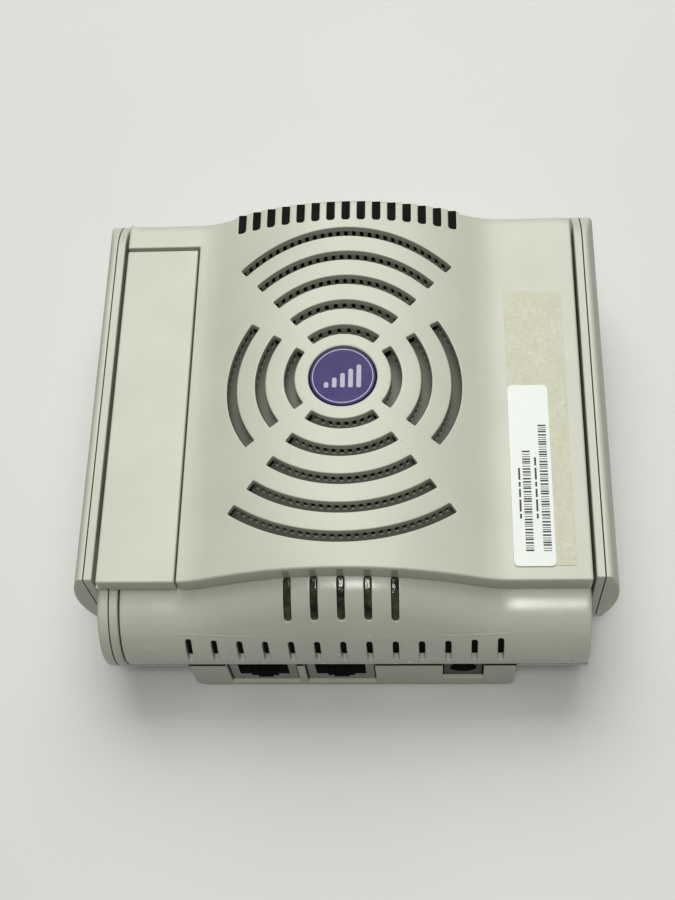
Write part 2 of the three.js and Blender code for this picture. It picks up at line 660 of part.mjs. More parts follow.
function antennaOutline(inset) {
  const shape = new THREE.Shape();
  shape.moveTo(ANTENNA_FRONT + inset, ANTENNA_LOW + inset);
  shape.lineTo(SIDE_HINGE_Y, ANTENNA_LOW + inset);
  shape.absarc(SIDE_HINGE_Y, SIDE_HINGE_Z, ANTENNA_RADIUS - inset, -0.5 * Math.PI, 0.5 * Math.PI, false);
  shape.lineTo(ANTENNA_FRONT + inset, ANTENNA_TOP - inset);
  return shape;
}

// A lens-like section: flat beside the casing, bulging outward, drawn in towards the bottom.
function antennaSection(side, inset) {
  const shape = new THREE.Shape();
  const at = (x, z) => [side * x, z];
  shape.moveTo(...at(ANTENNA_INNER + inset, ANTENNA_LOW - 1));
  shape.lineTo(...at(EDGE_LOW_X - inset, ANTENNA_LOW - 1));
  shape.lineTo(...at(BULGE_LOW_X - inset, ANTENNA_LOW + 0.4));
  shape.quadraticCurveTo(...at(BULGE_X - inset, BULGE_Z), ...at(BULGE_TOP_X - inset, ANTENNA_TOP - 1.1));
  shape.lineTo(...at(EDGE_TOP_X + 0.2 - inset, ANTENNA_TOP - 0.15));
  shape.lineTo(...at(EDGE_TOP_X - inset, ANTENNA_TOP + 1));
  shape.lineTo(...at(ANTENNA_INNER + inset, ANTENNA_TOP + 1));
  return shape;
}

function antennaForm(side, inset) {
  const [low, high] = side > 0 ? [50, 70] : [-70, -50];
  return alongY(antennaSection(side, inset), COVER_FRONT - 1, COVER_BACK + 10, 7)
    .intersect(alongX(antennaOutline(inset), low, high, 14));
}

const slab = (side, a, b) => [Math.min(side * a, side * b), Math.max(side * a, side * b)];

function sideAntenna(name, side) {
  const half = (a, b) => box(...slab(side, a, b), COVER_FRONT - 1, COVER_BACK + 10, 0, CROWN);
  const rod = (radius, a, b, sides) => discX(SIDE_HINGE_Y, SIDE_HINGE_Z, radius, ...slab(side, a, b), sides);
  const form = antennaForm(side, 0);
  const room = antennaForm(side, ANTENNA_WALL);
  const outer = less(form.intersect(half(ANTENNA_SEAM + GAP / 2, 70)), room);
  const inner = joined(
    less(form.intersect(half(50, ANTENNA_SEAM - GAP / 2)), room.intersect(half(ANTENNA_INNER + ANTENNA_FLOOR, 70))),
    rod(SIDE_HUB_RADIUS, BODY_HALF + GAP, ANTENNA_INNER + 0.2, 24),
  );
  add(`${name}_outer_shell`, outer, CASING());
  add(`${name}_inner_shell`, less(inner, rod(PIN_RADIUS + GAP, 50, 70, 16)), CASING());
  const pin = joined(
    rod(PIN_RADIUS, BODY_HALF - WALL - PIN_END, ANTENNA_INNER + 2.4, 16),
    rod(BUSH_RADIUS, ANTENNA_INNER + ANTENNA_FLOOR + GAP, ANTENNA_INNER + 2.4, 16),
    rod(COLLAR_RADIUS, BODY_HALF - WALL - PIN_END, BODY_HALF - WALL - PIN_END + COLLAR, 16),
  );
  add(`${name}_hinge_pin`, pin, METAL());
  const strip = box(...slab(side, ANTENNA_SEAM - 0.4, ANTENNA_SEAM + 0.4),
    ANTENNA_FRONT + 4, SIDE_HINGE_Y - 8, ANTENNA_LOW + 7, ANTENNA_TOP - 6);
  add(`${name}_element`, strip, BOARD_GREEN());
  const bush = joined(
    rod(BUSH_RADIUS, BODY_HALF - WALL - BUSH_LENGTH, BODY_HALF, 20),
    rod(FLANGE_RADIUS, BODY_HALF - WALL - FLANGE_END, BODY_HALF - WALL - GAP, 20),
  );
  add(`${name}_hinge_bush`, less(bush, rod(PIN_RADIUS + GAP, 40, 70, 16)), BRASS());
}

sideAntenna('left_antenna', -1);
sideAntenna('right_antenna', 1);

// ---------------------------------------------------------------- top antenna

// The hub's disc with the neck that carries the blade.
function hub(x0, x1, bladeLow) {
  return joined(
    discX(BARREL_Y, BARREL_Z, HUB_RADIUS, x0, x1, 40),
    box(Math.max(x0, BLADE_LEFT), x1, COVER_FRONT, NECK_BACK, BARREL_Z + 9, bladeLow),
  );
}

function bladeShells() {
  const top = less(
    box(BLADE_LEFT, BLADE_RIGHT, COVER_FRONT, BLADE_BACK, BLADE_SEAM, SHOULDER),
    box(BLADE_LEFT + 1.5, BLADE_RIGHT - 1.5, NECK_BACK, BLADE_BACK - 1.5, BLADE_SEAM - 1, SHOULDER - 1.3),
  );
  const bottom = less(
    box(BLADE_LEFT, BLADE_RIGHT, COVER_FRONT, BLADE_BACK, BLADE_LOW, BLADE_SEAM - GAP),
    box(BLADE_LEFT - 1, HUB_SEAM + GAP / 2, COVER_FRONT - 1, NECK_BACK + GAP, 0, SHOULDER),
  );
  return { top, bottom };
}

function topAntenna() {
  const { top, bottom } = bladeShells();
  const rod = (radius, a, b, sides) => discX(BARREL_Y, BARREL_Z, radius, a, b, sides);
  const hole = rod(PIN_RADIUS + GAP, HUB_SEAM - 1.3, HUB_INNER + 1, 16);
  add('top_antenna_outer_shell', less(joined(top, hub(HUB_OUTER, HUB_SEAM - GAP / 2, BLADE_SEAM + 0.2)), hole),
    CASING());
  add('top_antenna_inner_shell', less(joined(bottom, hub(HUB_SEAM + GAP / 2, HUB_INNER, BLADE_LOW + 0.2)), hole),
    CASING());
  const pin = joined(
    rod(PIN_RADIUS, HUB_SEAM - 1, NOTCH_X + WALL + PIN_END, 16),
    rod(COLLAR_RADIUS, NOTCH_X + WALL + PIN_END - COLLAR, NOTCH_X + WALL + PIN_END, 16),
  );
  add('top_antenna_hinge_pin', pin, METAL());
  add('top_antenna_element', box(BLADE_LEFT + 4, BLADE_RIGHT - 4, NECK_BACK + 4, BLADE_BACK - 5,
    BLADE_SEAM, BLADE_SEAM + 0.8), BOARD_GREEN());
  const bush = joined(
    rod(BUSH_RADIUS, NOTCH_X, NOTCH_X + WALL + BUSH_LENGTH, 20),
    rod(FLANGE_RADIUS, NOTCH_X + WALL + GAP, NOTCH_X + WALL + FLANGE_END, 20),
  );
  add('top_antenna_hinge_bush', less(bush, rod(PIN_RADIUS + GAP, -60, -40, 16)), BRASS());
}

topAntenna();

export default device;
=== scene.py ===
"""Looks of the indoor wireless access point: shells, grille, labels, badge, materials and light.

Lengths are in millimetres in the CAD frame, and become metres where a mesh is made.
"""

import json
import math

import bmesh
import bpy
from mathutils import Matrix, Vector
from mathutils.geometry import delaunay_2d_cdt


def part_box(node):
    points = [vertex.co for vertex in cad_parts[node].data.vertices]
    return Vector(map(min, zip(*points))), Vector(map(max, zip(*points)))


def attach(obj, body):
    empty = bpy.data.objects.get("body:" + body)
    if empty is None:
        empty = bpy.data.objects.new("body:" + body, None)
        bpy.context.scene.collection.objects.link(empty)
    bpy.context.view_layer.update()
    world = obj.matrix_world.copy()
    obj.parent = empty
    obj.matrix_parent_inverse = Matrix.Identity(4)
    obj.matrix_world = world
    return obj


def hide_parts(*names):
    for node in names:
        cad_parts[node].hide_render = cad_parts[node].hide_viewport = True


MM = 0.001

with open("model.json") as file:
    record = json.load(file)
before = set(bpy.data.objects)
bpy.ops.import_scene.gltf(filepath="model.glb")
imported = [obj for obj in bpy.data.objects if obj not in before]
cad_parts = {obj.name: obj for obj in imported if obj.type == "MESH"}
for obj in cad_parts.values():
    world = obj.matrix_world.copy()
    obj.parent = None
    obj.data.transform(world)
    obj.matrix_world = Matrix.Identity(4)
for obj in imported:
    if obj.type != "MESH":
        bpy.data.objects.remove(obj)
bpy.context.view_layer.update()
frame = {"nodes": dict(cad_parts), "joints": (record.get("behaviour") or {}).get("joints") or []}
scene = bpy.context.scene
nodes = frame["nodes"]


def box_mm(node):
    low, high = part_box(node)
    return low / MM, high / MM


# ---- sizes read from the frame

COVER_LOW, COVER_HIGH = box_mm("top_cover")
BADGE_LOW, BADGE_HIGH = box_mm("badge")
BLADE_LOW, BLADE_HIGH = box_mm("top_antenna_outer_shell")
PADDLE_LOW, PADDLE_HIGH = box_mm("right_antenna_outer_shell")
BAFFLE_LOW, BAFFLE_HIGH = box_mm("vent_baffle")
HINGES = {joint["name"]: Vector(joint["pos_m"]) / MM for joint in frame["joints"]}

BODY_HALF = COVER_HIGH.x
COVER_FRONT, COVER_BACK = COVER_LOW.y, COVER_HIGH.y
SKIRT_LOW = COVER_LOW.z
CROWN = 48.0
SHOULDER = BLADE_HIGH.z
GRILLE_Y = (BADGE_LOW.y + BADGE_HIGH.y) / 2
BADGE_RADIUS = (BADGE_HIGH.x - BADGE_LOW.x) / 2
BARREL_Y, BARREL_Z = HINGES["top_antenna_hinge"].yz

# ---- other sizes, as in the CAD

DOME_RADIUS = 68.7
DOME_EDGE = 30.0
FLAT_START = 38.0
LIP = 5.2
SKIN = 1.75
GAP = 0.3

RING_FIRST = 11.33
RING_PITCH = 7.0
RING_WIDTH = 2.49
SECTORS = ((90, 38.4, 5), (270, 38.4, 5), (0, 36.5, 3), (180, 36.5, 3))   # middle, half angle, rings
LONG_WINDOWS = (8, 13, 19, 24, 29)
SHORT_WINDOWS = (9, 14, 19)

BACK_SLOTS = 15
BACK_SLOT_PITCH = 3.76
BACK_SLOT_WIDTH = 2.0
BACK_SLOT_REACH = 5.9
BACK_SLOT_LOW = SHOULDER - 3

BARREL_RADIUS = 13.8
BARREL_WALL = 1.8
NOTCH_X = -51.1
NOTCH_BACK = -29.2
RECESS_RIGHT = -37.3
RECESS_BACK = 45.5
RECESS_FLOOR = 34.3
RIB_Y = -40.7
SEAM = 16.95
BASE_LEFT, BASE_RIGHT = -37.2, 39.6

VENTS = 13
VENT_PITCH = 5.93
VENT_WIDTH = 1.4
VENT_LOW = 21.0
VENT_HIGH = 28.5
VENT_RISE = 0.18
LIGHTS = 5
LIGHT_PITCH = 6.0
LIGHT_WIDTH = 1.7
LIGHT_FRONT = -53.3


def centred(count, pitch):
    return [(i - (count - 1) / 2) * pitch for i in range(count)]


# ---- surfaces


def cover_top(x):
    """Height of the top: a dome across X that runs out through a soft valley into flat shoulders."""
    a = abs(x)
    if a <= DOME_EDGE:
        return CROWN - a * a / (2 * DOME_RADIUS)
    if a >= FLAT_START:
        return SHOULDER
    run = FLAT_START - DOME_EDGE
    t = (a - DOME_EDGE) / run
    start = CROWN - DOME_EDGE**2 / (2 * DOME_RADIUS)
    slope = -DOME_EDGE / DOME_RADIUS * run
    ease = 2 * t**3 - 3 * t**2
    return start * (ease + 1) + slope * (t**3 - 2 * t**2 + t) - SHOULDER * ease


def barrel_top(x):
    return cover_top(x) - LIP - GAP


def barrel_point(x, angle, inset=0.0):
    """A point of the round front edge: angle 0 is at its top, 90 at the front, more is below."""
    turn = math.radians(angle)
    reach = BARREL_RADIUS - inset
    rise = barrel_top(x) - inset - BARREL_Z if angle <= 90 else reach
    return Vector((x, BARREL_Y - reach * math.sin(turn), BARREL_Z + rise * math.cos(turn)))


# ---- outlines in a plane


def arc_points(centre, radius, start, end, steps):
    """Points on an arc, angles in radians, both ends included."""
    return [
        centre + radius * Vector((math.cos(a), math.sin(a)))
        for a in (start + (end - start) * i / steps for i in range(steps + 1))
    ]


def near(angle, reference):
    """The same direction as an angle, written within half a turn of the reference."""
    return reference + math.remainder(angle - reference, 2 * math.pi)


def intersect(p, d, q, e):
    cross = d.x * e.y - d.y * e.x
    if abs(cross) < 1e-9:
        return q.copy()
    t = ((q.x - p.x) * e.y - (q.y - p.y) * e.x) / cross
    return p + t * d


class Outline:
    """A counter-clockwise polygon with rounded corners, whose edges can be drawn in by different amounts.

    corners is a list of (x, y, corner radius, fillet radius of the edge that follows, steps on that edge).
    """

    def __init__(self, corners, arc_steps=5):
        self.points = [Vector(c[:2]) for c in corners]
        self.radii = [c[2] for c in corners]
        self.fillets = [c[3] for c in corners]
        self.steps = [c[4] for c in corners]
        self.arc_steps = arc_steps

    def fillet_at(self):
        """The fillet radius at each point of the loop."""
        out = []
        for i, fillet in enumerate(self.fillets):
            before = self.fillets[i - 1]
            out += [before + (fillet - before) * k / self.arc_steps for k in range(self.arc_steps + 1)]
            out += [fillet] * (self.steps[i] - 1)
        return out

    def loop(self, share=0.0, extra=0.0):
        """The loop with each edge drawn in by share of its fillet radius, plus extra."""
        count = len(self.points)
        lines = []
        for i in range(count):
            p, q = self.points[i], self.points[(i + 1) % count]
            d = (q - p).normalized()
            inset = share * self.fillets[i] + extra
            lines.append((p + inset * Vector((-d.y, d.x)), d, inset))
        rounded = []
        for i in range(count):
            (p0, d0, a0), (p1, d1, a1) = lines[i - 1], lines[i]
            corner = intersect(p0, d0, p1, d1)
            turn = math.atan2(d0.x * d1.y - d0.y * d1.x, d0.dot(d1))
            radius = self.radii[i] - math.copysign((a0 + a1) / 2, turn)
            radius = max(radius, 0.0) if self.radii[i] > 0 else 0.0
            reach = radius * math.tan(abs(turn) / 2)
            start = corner - reach * d0
            if radius < 1e-6:
                rounded.append([corner.copy() for _ in range(self.arc_steps + 1)])
                continue
            side = math.copysign(1, turn)
            centre = start + side * radius * Vector((-d0.y, d0.x))
            angle = math.atan2(start.y - centre.y, start.x - centre.x)
            rounded.append(arc_points(centre, radius, angle, angle + turn, self.arc_steps))
        out = []
        for i in range(count):
            out += rounded[i]
            a, b = rounded[i][-1], rounded[(i + 1) % count][0]
            out += [a.lerp(b, k / self.steps[i]) for k in range(1, self.steps[i])]
        return out


class Sector:
    """A ring slot with radial ends and small corner radii. It grows as its loop is drawn in."""

    def __init__(self, inner, outer, middle, half, fillet, corner=0.25, steps=40):
        self.inner, self.outer, self.corner = inner, outer, corner
        self.middle, self.half = math.radians(middle), math.radians(half)
        self.fillet, self.steps = fillet, steps
        self.centre = Vector((0, GRILLE_Y))

    def fillet_at(self):
        return [self.fillet] * len(self.loop())

    def loop(self, share=0.0, extra=0.0):
        grow = share * self.fillet + extra
        round_radius = self.corner + grow

        def corner_arc(side, outward):
            end = self.middle + side * self.half
            radial = Vector((math.cos(end), math.sin(end)))
            along = side * Vector((-radial.y, radial.x))
            ring = self.outer - self.corner if outward else self.inner + self.corner
            centre = radial * ring - along * self.corner
            first = math.atan2(centre.y, centre.x) + (0 if outward else math.pi)
            return arc_points(centre, round_radius, first, near(end + side * math.pi / 2, first), 3)

        outer_left, outer_right = corner_arc(-1, True), corner_arc(1, True)
        inner_right, inner_left = corner_arc(1, False), corner_arc(-1, False)

        def ring_arc(a, b, radius):
            start = math.atan2(a.y, a.x)
            end = near(math.atan2(b.y, b.x), start)
            return arc_points(Vector((0, 0)), radius, start, end, self.steps)[1:-1]

        points = outer_left[::-1]
        points += ring_arc(outer_left[0], outer_right[0], self.outer + grow)
        points += outer_right + inner_right[::-1]
        points += ring_arc(inner_right[0], inner_left[0], self.inner - grow)
        points += inner_left
        return [self.centre + p for p in points]


class Hole(Outline):
    """An outline used as a hole: it grows where an edge would be drawn in."""

    def loop(self, share=0.0, extra=0.0):
        return super().loop(-share, -extra)


def rectangle(x0, x1, y0, y1, radius=0, fillet=0, steps_x=1, steps_y=1, far_radius=None):
    """A rectangle's corners for an Outline. The two at y1 can have a radius of their own."""
    far = radius if far_radius is None else far_radius
    return [(x0, y0, radius, fillet, steps_x), (x1, y0, radius, fillet, steps_y),
            (x1, y1, far, fillet, steps_x), (x0, y1, far, fillet, steps_y)]


def circle(x, y, radius, fillet):
    """Corners whose rounding makes a circle."""
    return rectangle(x - radius, x + radius, y - radius, y + radius, radius, fillet)


def slot_hole(x, width, y0, y1, radius, fillet, steps=4):
    return Hole(rectangle(x - width / 2, x + width / 2, y0, y1, radius, fillet, 1, steps))


def loop_box(loop):
    xs, ys = [p.x for p in loop], [p.y for p in loop]
    return min(xs), max(xs), min(ys), max(ys)


def inside(point, loop):
    hit = False
    for a, b in zip(loop, loop[1:] + loop[:1]):
        if (a.y > point.y) != (b.y > point.y):
            if point.x < (b.x - a.x) * (point.y - a.y) / (b.y - a.y) + a.x:
                hit = not hit
    return hit


def in_any(point, boxes):
    """Whether a point is inside one of the loops, each of which follows its bounding box."""
    return any(a <= point.x <= b and c <= point.y <= d and inside(point, loop) for a, b, c, d, loop in boxes)


# ---- mesh building


class Build:
    """Collects points and faces in millimetres, then makes one object in metres."""

    def __init__(self):
        self.points = []
        self.faces = []

    def add(self, points):
        start = len(self.points)
        self.points += [Vector(p) for p in points]
        return list(range(start, len(self.points)))

    def band(self, low, high, closed=True):
        """Quads between two rows of indices with equal counts."""
        count = len(low)
        for i in range(count if closed else count - 1):
            j = (i + 1) % count
            self.faces.append((low[i], low[j], high[j], high[i]))

    def tube(self, *rows):
        """A closed body through rows of points with equal counts."""
        rows = [self.add(row) for row in rows]
        for low, high in zip(rows, rows[1:]):
            self.band(low, high)
        self.faces += [rows[0], rows[-1][::-1]]

    def block(self, low, high):
        """A box between two corners."""
        corners = [(low[0], low[1]), (high[0], low[1]), (high[0], high[1]), (low[0], high[1])]
        self.tube([(x, y, low[2]) for x, y in corners], [(x, y, high[2]) for x, y in corners])

    def sheet(self, outer, holes, grid, place, up=True):
        """Triangles between a boundary and holes, each a (2D loop, indices) pair, and grid points."""
        coords, owner, edges = [], [], []
        for loop, indices in [outer, *holes]:
            start = len(coords)
            coords += loop
            owner += indices
            edges += [(start + i, start + (i + 1) % len(loop)) for i in range(len(loop))]
        coords += grid
        owner += [None] * len(grid)
        found, _, faces, origin, _, _ = delaunay_2d_cdt(coords, edges, [], 1, 1e-5)
        hole_boxes = [loop_box(loop) + (loop,) for loop, _ in holes]
        index = []
        for i, point in enumerate(found):
            known = [owner[o] for o in origin[i] if owner[o] is not None]
            index.append(known[0] if known else self.add([place(point)])[0])
        for face in faces:
            middle = sum((found[i] for i in face), Vector((0, 0))) / len(face)
            if inside(middle, outer[0]) and not in_any(middle, hole_boxes):
                corners = [index[i] for i in face]
                self.faces.append(corners if up else corners[::-1])

    def make(self, name):
        mesh = bpy.data.meshes.new(name)
        mesh.from_pydata([p * MM for p in self.points], [], self.faces)
        work = bmesh.new()
        work.from_mesh(mesh)
        bmesh.ops.remove_doubles(work, verts=work.verts, dist=1e-7)
        bmesh.ops.dissolve_degenerate(work, edges=work.edges, dist=1e-8)
        loose = [v for v in work.verts if not v.link_faces]
        bmesh.ops.delete(work, geom=loose, context="VERTS")
        bmesh.ops.recalc_face_normals(work, faces=work.faces)
        work.to_mesh(mesh)
        work.free()
        mesh.validate()
        obj = bpy.data.objects.new(name, mesh)
        scene.collection.objects.link(obj)
        return obj


def fillet_profile(steps=4):
    """(share of the fillet radius drawn in, share of it gone down), from the surface to the wall."""
    return [(1 - math.sin(t), 1 - math.cos(t)) for t in (math.pi / 2 * k / steps for k in range(steps + 1))]


def plate(build, outer, at, under, holes=(), grid=None):
    """A closed plate with rounded upper edges.

    at(point, depth) is the 3D point that far under the surface, and under(point) is on the plate's back.
    A grid, as (step in x, step in y, clearance), lets the plate follow a curved surface.
    """
    profile = fillet_profile()
    between = clear_grid(outer, holes, *grid) if grid else []

    def edge(shape, is_hole):
        fillets = shape.fillet_at()
        rows = []
        for share, down in profile:
            rows.append(build.add([at(p, down * f) for p, f in zip(shape.loop(share), fillets)]))
        rows.append(build.add([under(p) for p in shape.loop()]))
        for upper, lower in zip(rows, rows[1:]):
            build.band(*((upper, lower) if is_hole else (lower, upper)))
        return (shape.loop(1.0), rows[0]), (shape.loop(), rows[-1])

    outer_rows = edge(outer, False)
    hole_rows = [edge(h, True) for h in holes]
    build.sheet(outer_rows[0], [h[0] for h in hole_rows], between, lambda p: at(p, 0.0))
    build.sheet(outer_rows[1], [h[1] for h in hole_rows], between, under, up=False)


def flat_plate(build, outer, axis, face, back, grid=None):
    """A plate square to X or Z, its rounded face at one coordinate and its back at another."""
    toward = math.copysign(1, back - face)
    lay = (lambda p, v: Vector((v, *p))) if axis == "X" else (lambda p, v: Vector((*p, v)))
    plate(build, outer, lambda p, d: lay(p, face + toward * d), lambda p: lay(p, back), grid=grid)


def dome_plate(build, outer, sink, thick, holes=(), grid=(1.5, 1.5, 0.3)):
    """A plate that follows the cover's top, sunk under it."""
    at = lambda p, d: Vector((*p, cover_top(p.x) - sink - d))
    plate(build, outer, at, lambda p: at(p, thick), holes, grid)


def clear_grid(outer, holes, step_x, step_y, margin):
    """Points on a grid over an outline that keep margin from it and from the holes."""
    x0, x1, y0, y1 = loop_box(outer.points)
    keep_in = outer.loop(1.0, margin)
    boxes = [loop_box(k) + (k,) for k in (h.loop(1.0, margin) for h in holes)]
    out = []
    nx, ny = round((x1 - x0) / step_x), round((y1 - y0) / step_y)
    for i in range(1, nx):
        for j in range(1, ny):
            p = Vector((x0 + (x1 - x0) * i / nx, y0 + (y1 - y0) * j / ny))
            if inside(p, keep_in) and not in_any(p, boxes):
                out.append(p)
    return out


def shade_smooth(obj, keep_sharp=False):
    """Smooth shading in which large faces keep their own direction."""
    obj.data.polygons.foreach_set("use_smooth", [True] * len(obj.data.polygons))
    weighted = obj.modifiers.new("weighted", "WEIGHTED_NORMAL")
    weighted.mode = "FACE_AREA"
    weighted.weight = 60
    weighted.keep_sharp = keep_sharp


def object_from(build, name, material, *stands_for, body="casing", slot="casing", angle=35):
    """Makes a piece with creases past the angle, and says what it rides on and stands for."""
    obj = build.make(name)
    obj.data.set_sharp_from_angle(angle=math.radians(angle))
    shade_smooth(obj, keep_sharp=True)
    obj.data.materials.append(material)
    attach(obj, body)
    if stands_for:
        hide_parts(*stands_for)


def strip(build, path, top, low, thickness, fillet=0.3):
    """An upright wall along a path, its outer side to the right and its lower edge rounded."""
    rows = []
    for i, point in enumerate(path):
        before, after = path[max(i - 1, 0)], path[min(i + 1, len(path) - 1)]
        along = (after - before).normalized()
        out = Vector((along.y, -along.x))
        high, bottom = top(point), low(point)
        spots = [(-fillet * share, bottom + fillet * down) for share, down in fillet_profile(3)]
        spots += [(0, high), (-thickness, high), (-thickness, bottom)]
        rows.append([Vector((*(point + out * side), z)) for side, z in spots])
    build.tube(*rows)


def rounded_path(corners, steps=6):
    """Points along a polyline of (x, y, radius) corners, the inner ones rounded."""
    points = [Vector(corners[0][:2])]
    for (x0, y0, _), (x1, y1, radius), (x2, y2, _) in zip(corners, corners[1:], corners[2:]):
        here = Vector((x1, y1))
        back = (Vector((x0, y0)) - here).normalized()
        ahead = (Vector((x2, y2)) - here).normalized()
        turn = back.x * ahead.y - back.y * ahead.x
        reach = radius / math.tan(math.acos(max(-1, min(1, back.dot(ahead)))) / 2)
        centre = here + (back + ahead).normalized() * math.hypot(radius, reach)
        first, last = here + back * reach - centre, here + ahead * reach - centre
        start = math.atan2(first.y, first.x)
        points += arc_points(centre, radius, start, start - first.angle_signed(last), steps)
    points.append(Vector(corners[-1][:2]))
    return points


# ---- materials


class Nodes:
    """Short ways to add shader nodes to one material."""

    def __init__(self, name, color, roughness, metallic=0.0, specular=0.5):
        self.material = bpy.data.materials.new(name)
        self.material.use_nodes = True
        self.tree = self.material.node_tree
        self.shader = self.tree.nodes["Principled BSDF"]
        names = ("Base Color", "Roughness", "Metallic", "Specular IOR Level")
        for key, value in zip(names, (color, roughness, metallic, specular)):
            self.feed(self.shader.inputs[key], value)
        self.place = self.add("ShaderNodeTexCoord").outputs["Object"]

    def feed(self, socket, value):
        """Links another node's output, or sets a number or colour."""
        if isinstance(value, bpy.types.NodeSocket):
            self.tree.links.new(value, socket)
        else:
            socket.default_value = (*value, 1) if socket.type == "RGBA" else value

    def add(self, kind, inputs=None, **settings):
        node = self.tree.nodes.new(kind)
        for key, value in settings.items():
            setattr(node, key, value)
        for key, value in (inputs or {}).items():
            self.feed(node.inputs[key], value)
        return node

    def link(self, socket, name):
        self.tree.links.new(socket, self.shader.inputs[name])

    def noise(self, size_mm, detail=3.0, roughness=0.55):
        """Noise whose features are about size_mm across."""
        inputs = {"Vector": self.place, "Scale": 1 / (size_mm * MM), "Detail": detail, "Roughness": roughness}
        return self.add("ShaderNodeTexNoise", inputs).outputs["Fac"]

    def ramp(self, value, low, high, from_value=0.0, to_value=1.0):
        inputs = {"Value": value, "From Min": low, "From Max": high, "To Min": from_value, "To Max": to_value}
        return self.add("ShaderNodeMapRange", inputs).outputs["Result"]

    def math(self, operation, a, b=0.0):
        node = self.add("ShaderNodeMath", operation=operation)
        for socket, value in zip(node.inputs, (a, b)):
            self.feed(socket, value)
        return node.outputs["Value"]

    def mix(self, factor, a, b):
        node = self.add("ShaderNodeMix", data_type="RGBA")
        for socket, value in zip((node.inputs["Factor"], node.inputs[6], node.inputs[7]), (factor, a, b)):
            self.feed(socket, value)
        return node.outputs[2]

    def bump(self, height, strength, distance_mm, normal=None):
        inputs = {"Height": height, "Strength": strength, "Distance": distance_mm * MM}
        if normal:
            inputs["Normal"] = normal
        return self.add("ShaderNodeBump", inputs).outputs["Normal"]


def scaled(color, factor):
    return tuple(c * factor for c in color)


def moulded_plastic(name, color, roughness, grain=0.5, specks=0.55):
    """Moulded plastic: spark-eroded grain, faint mottling, dull handling marks, and dark dust specks."""
    n = Nodes(name, color, roughness)
    mottle = n.ramp(n.noise(22, 2), 0.35, 0.65)
    shade = n.mix(mottle, scaled(color, 0.965), scaled(color, 1.02))
    fine = n.ramp(n.noise(0.5, 2), 0.3, 0.7)
    shade = n.mix(n.math("MULTIPLY", fine, 0.35), shade, scaled(color, 0.93))
    cells = n.add("ShaderNodeTexVoronoi", {"Vector": n.place, "Scale": 1 / (7.5 * MM), "Randomness": 1.0})
    spot = n.ramp(cells.outputs["Distance"], 0.018, 0.034, 1, 0)
    rare = n.ramp(n.add("ShaderNodeSeparateColor", {"Color": cells.outputs["Color"]}).outputs[0], 0.62, 0.66)
    shade = n.mix(n.math("MULTIPLY", n.math("MULTIPLY", spot, rare), specks), shade, scaled(color, 0.42))
    stain = n.ramp(n.noise(9, 3, 0.5), 0.6, 0.85)
    shade = n.mix(n.math("MULTIPLY", stain, 0.12), shade, (color[0] * 0.86, color[1] * 0.84, color[2] * 0.76))
    n.link(shade, "Base Color")
    worn = n.ramp(n.noise(7, 2, 0.4), 0.25, 0.75, roughness - 0.03, roughness + 0.05)
    n.link(worn, "Roughness")
    coarse = n.bump(n.noise(0.55, 2, 0.5), 0.28 * grain, 0.05)
    n.link(n.bump(n.noise(14, 1), 0.10, 0.4, coarse), "Normal")
    return n.material


def plain(name, color, roughness, metallic=0.0, size_mm=1.2, spread=0.12, bump=0.15, specular=0.5):
    """A small part's material: fine variation in colour, gloss and height."""
    n = Nodes(name, color, roughness, metallic, specular)
    shade = n.mix(n.ramp(n.noise(size_mm, 4), 0.3, 0.7), scaled(color, 1 - spread), scaled(color, 1 + spread))
    n.link(shade, "Base Color")
    n.link(n.ramp(n.noise(size_mm * 3, 3), 0.3, 0.7, roughness * 0.85, min(roughness * 1.2, 1)), "Roughness")
    n.link(n.bump(n.noise(size_mm * 0.4, 2), bump, 0.04), "Normal")
    return n.material


def brushed_metal(name, color, roughness):
    n = Nodes(name, color, roughness, metallic=1.0)
    stretched = n.add("ShaderNodeMapping", {"Vector": n.place, "Scale": (1, 14, 14)})
    inputs = {"Vector": stretched.outputs["Vector"], "Scale": 700.0, "Detail": 3.0}
    lines = n.add("ShaderNodeTexNoise", inputs).outputs["Fac"]
    n.link(n.mix(lines, scaled(color, 0.8), scaled(color, 1.1)), "Base Color")
    n.link(n.ramp(lines, 0.3, 0.7, roughness * 0.8, roughness * 1.3), "Roughness")
    n.link(n.bump(lines, 0.15, 0.02), "Normal")
    return n.material


def printed_board(name):
    n = Nodes(name, (0.02, 0.11, 0.055), 0.4)
    brick = n.add("ShaderNodeTexBrick", {
        "Vector": n.place, "Scale": 240.0, "Mortar Size": 0.012,
        "Color1": (0.02, 0.11, 0.055), "Color2": (0.025, 0.13, 0.06), "Mortar": (0.05, 0.2, 0.1),
    })
    n.link(brick.outputs["Color"], "Base Color")
    n.link(n.bump(brick.outputs["Fac"], 0.2, 0.03), "Normal")
    return n.material


def clear_pipe(name):
    """Smoke-tinted clear plastic, seen over a dark housing."""
    n = Nodes(name, (0.035, 0.037, 0.026), 0.12)
    n.shader.inputs["Coat Weight"].default_value = 0.35
    n.shader.inputs["Coat Roughness"].default_value = 0.1
    deep = n.ramp(n.noise(2.5, 2), 0.35, 0.7)
    n.link(n.mix(deep, (0.02, 0.022, 0.017), (0.10, 0.10, 0.06)), "Base Color")
    n.link(n.bump(n.noise(1.1, 2), 0.75, 0.3), "Normal")
    return n.material


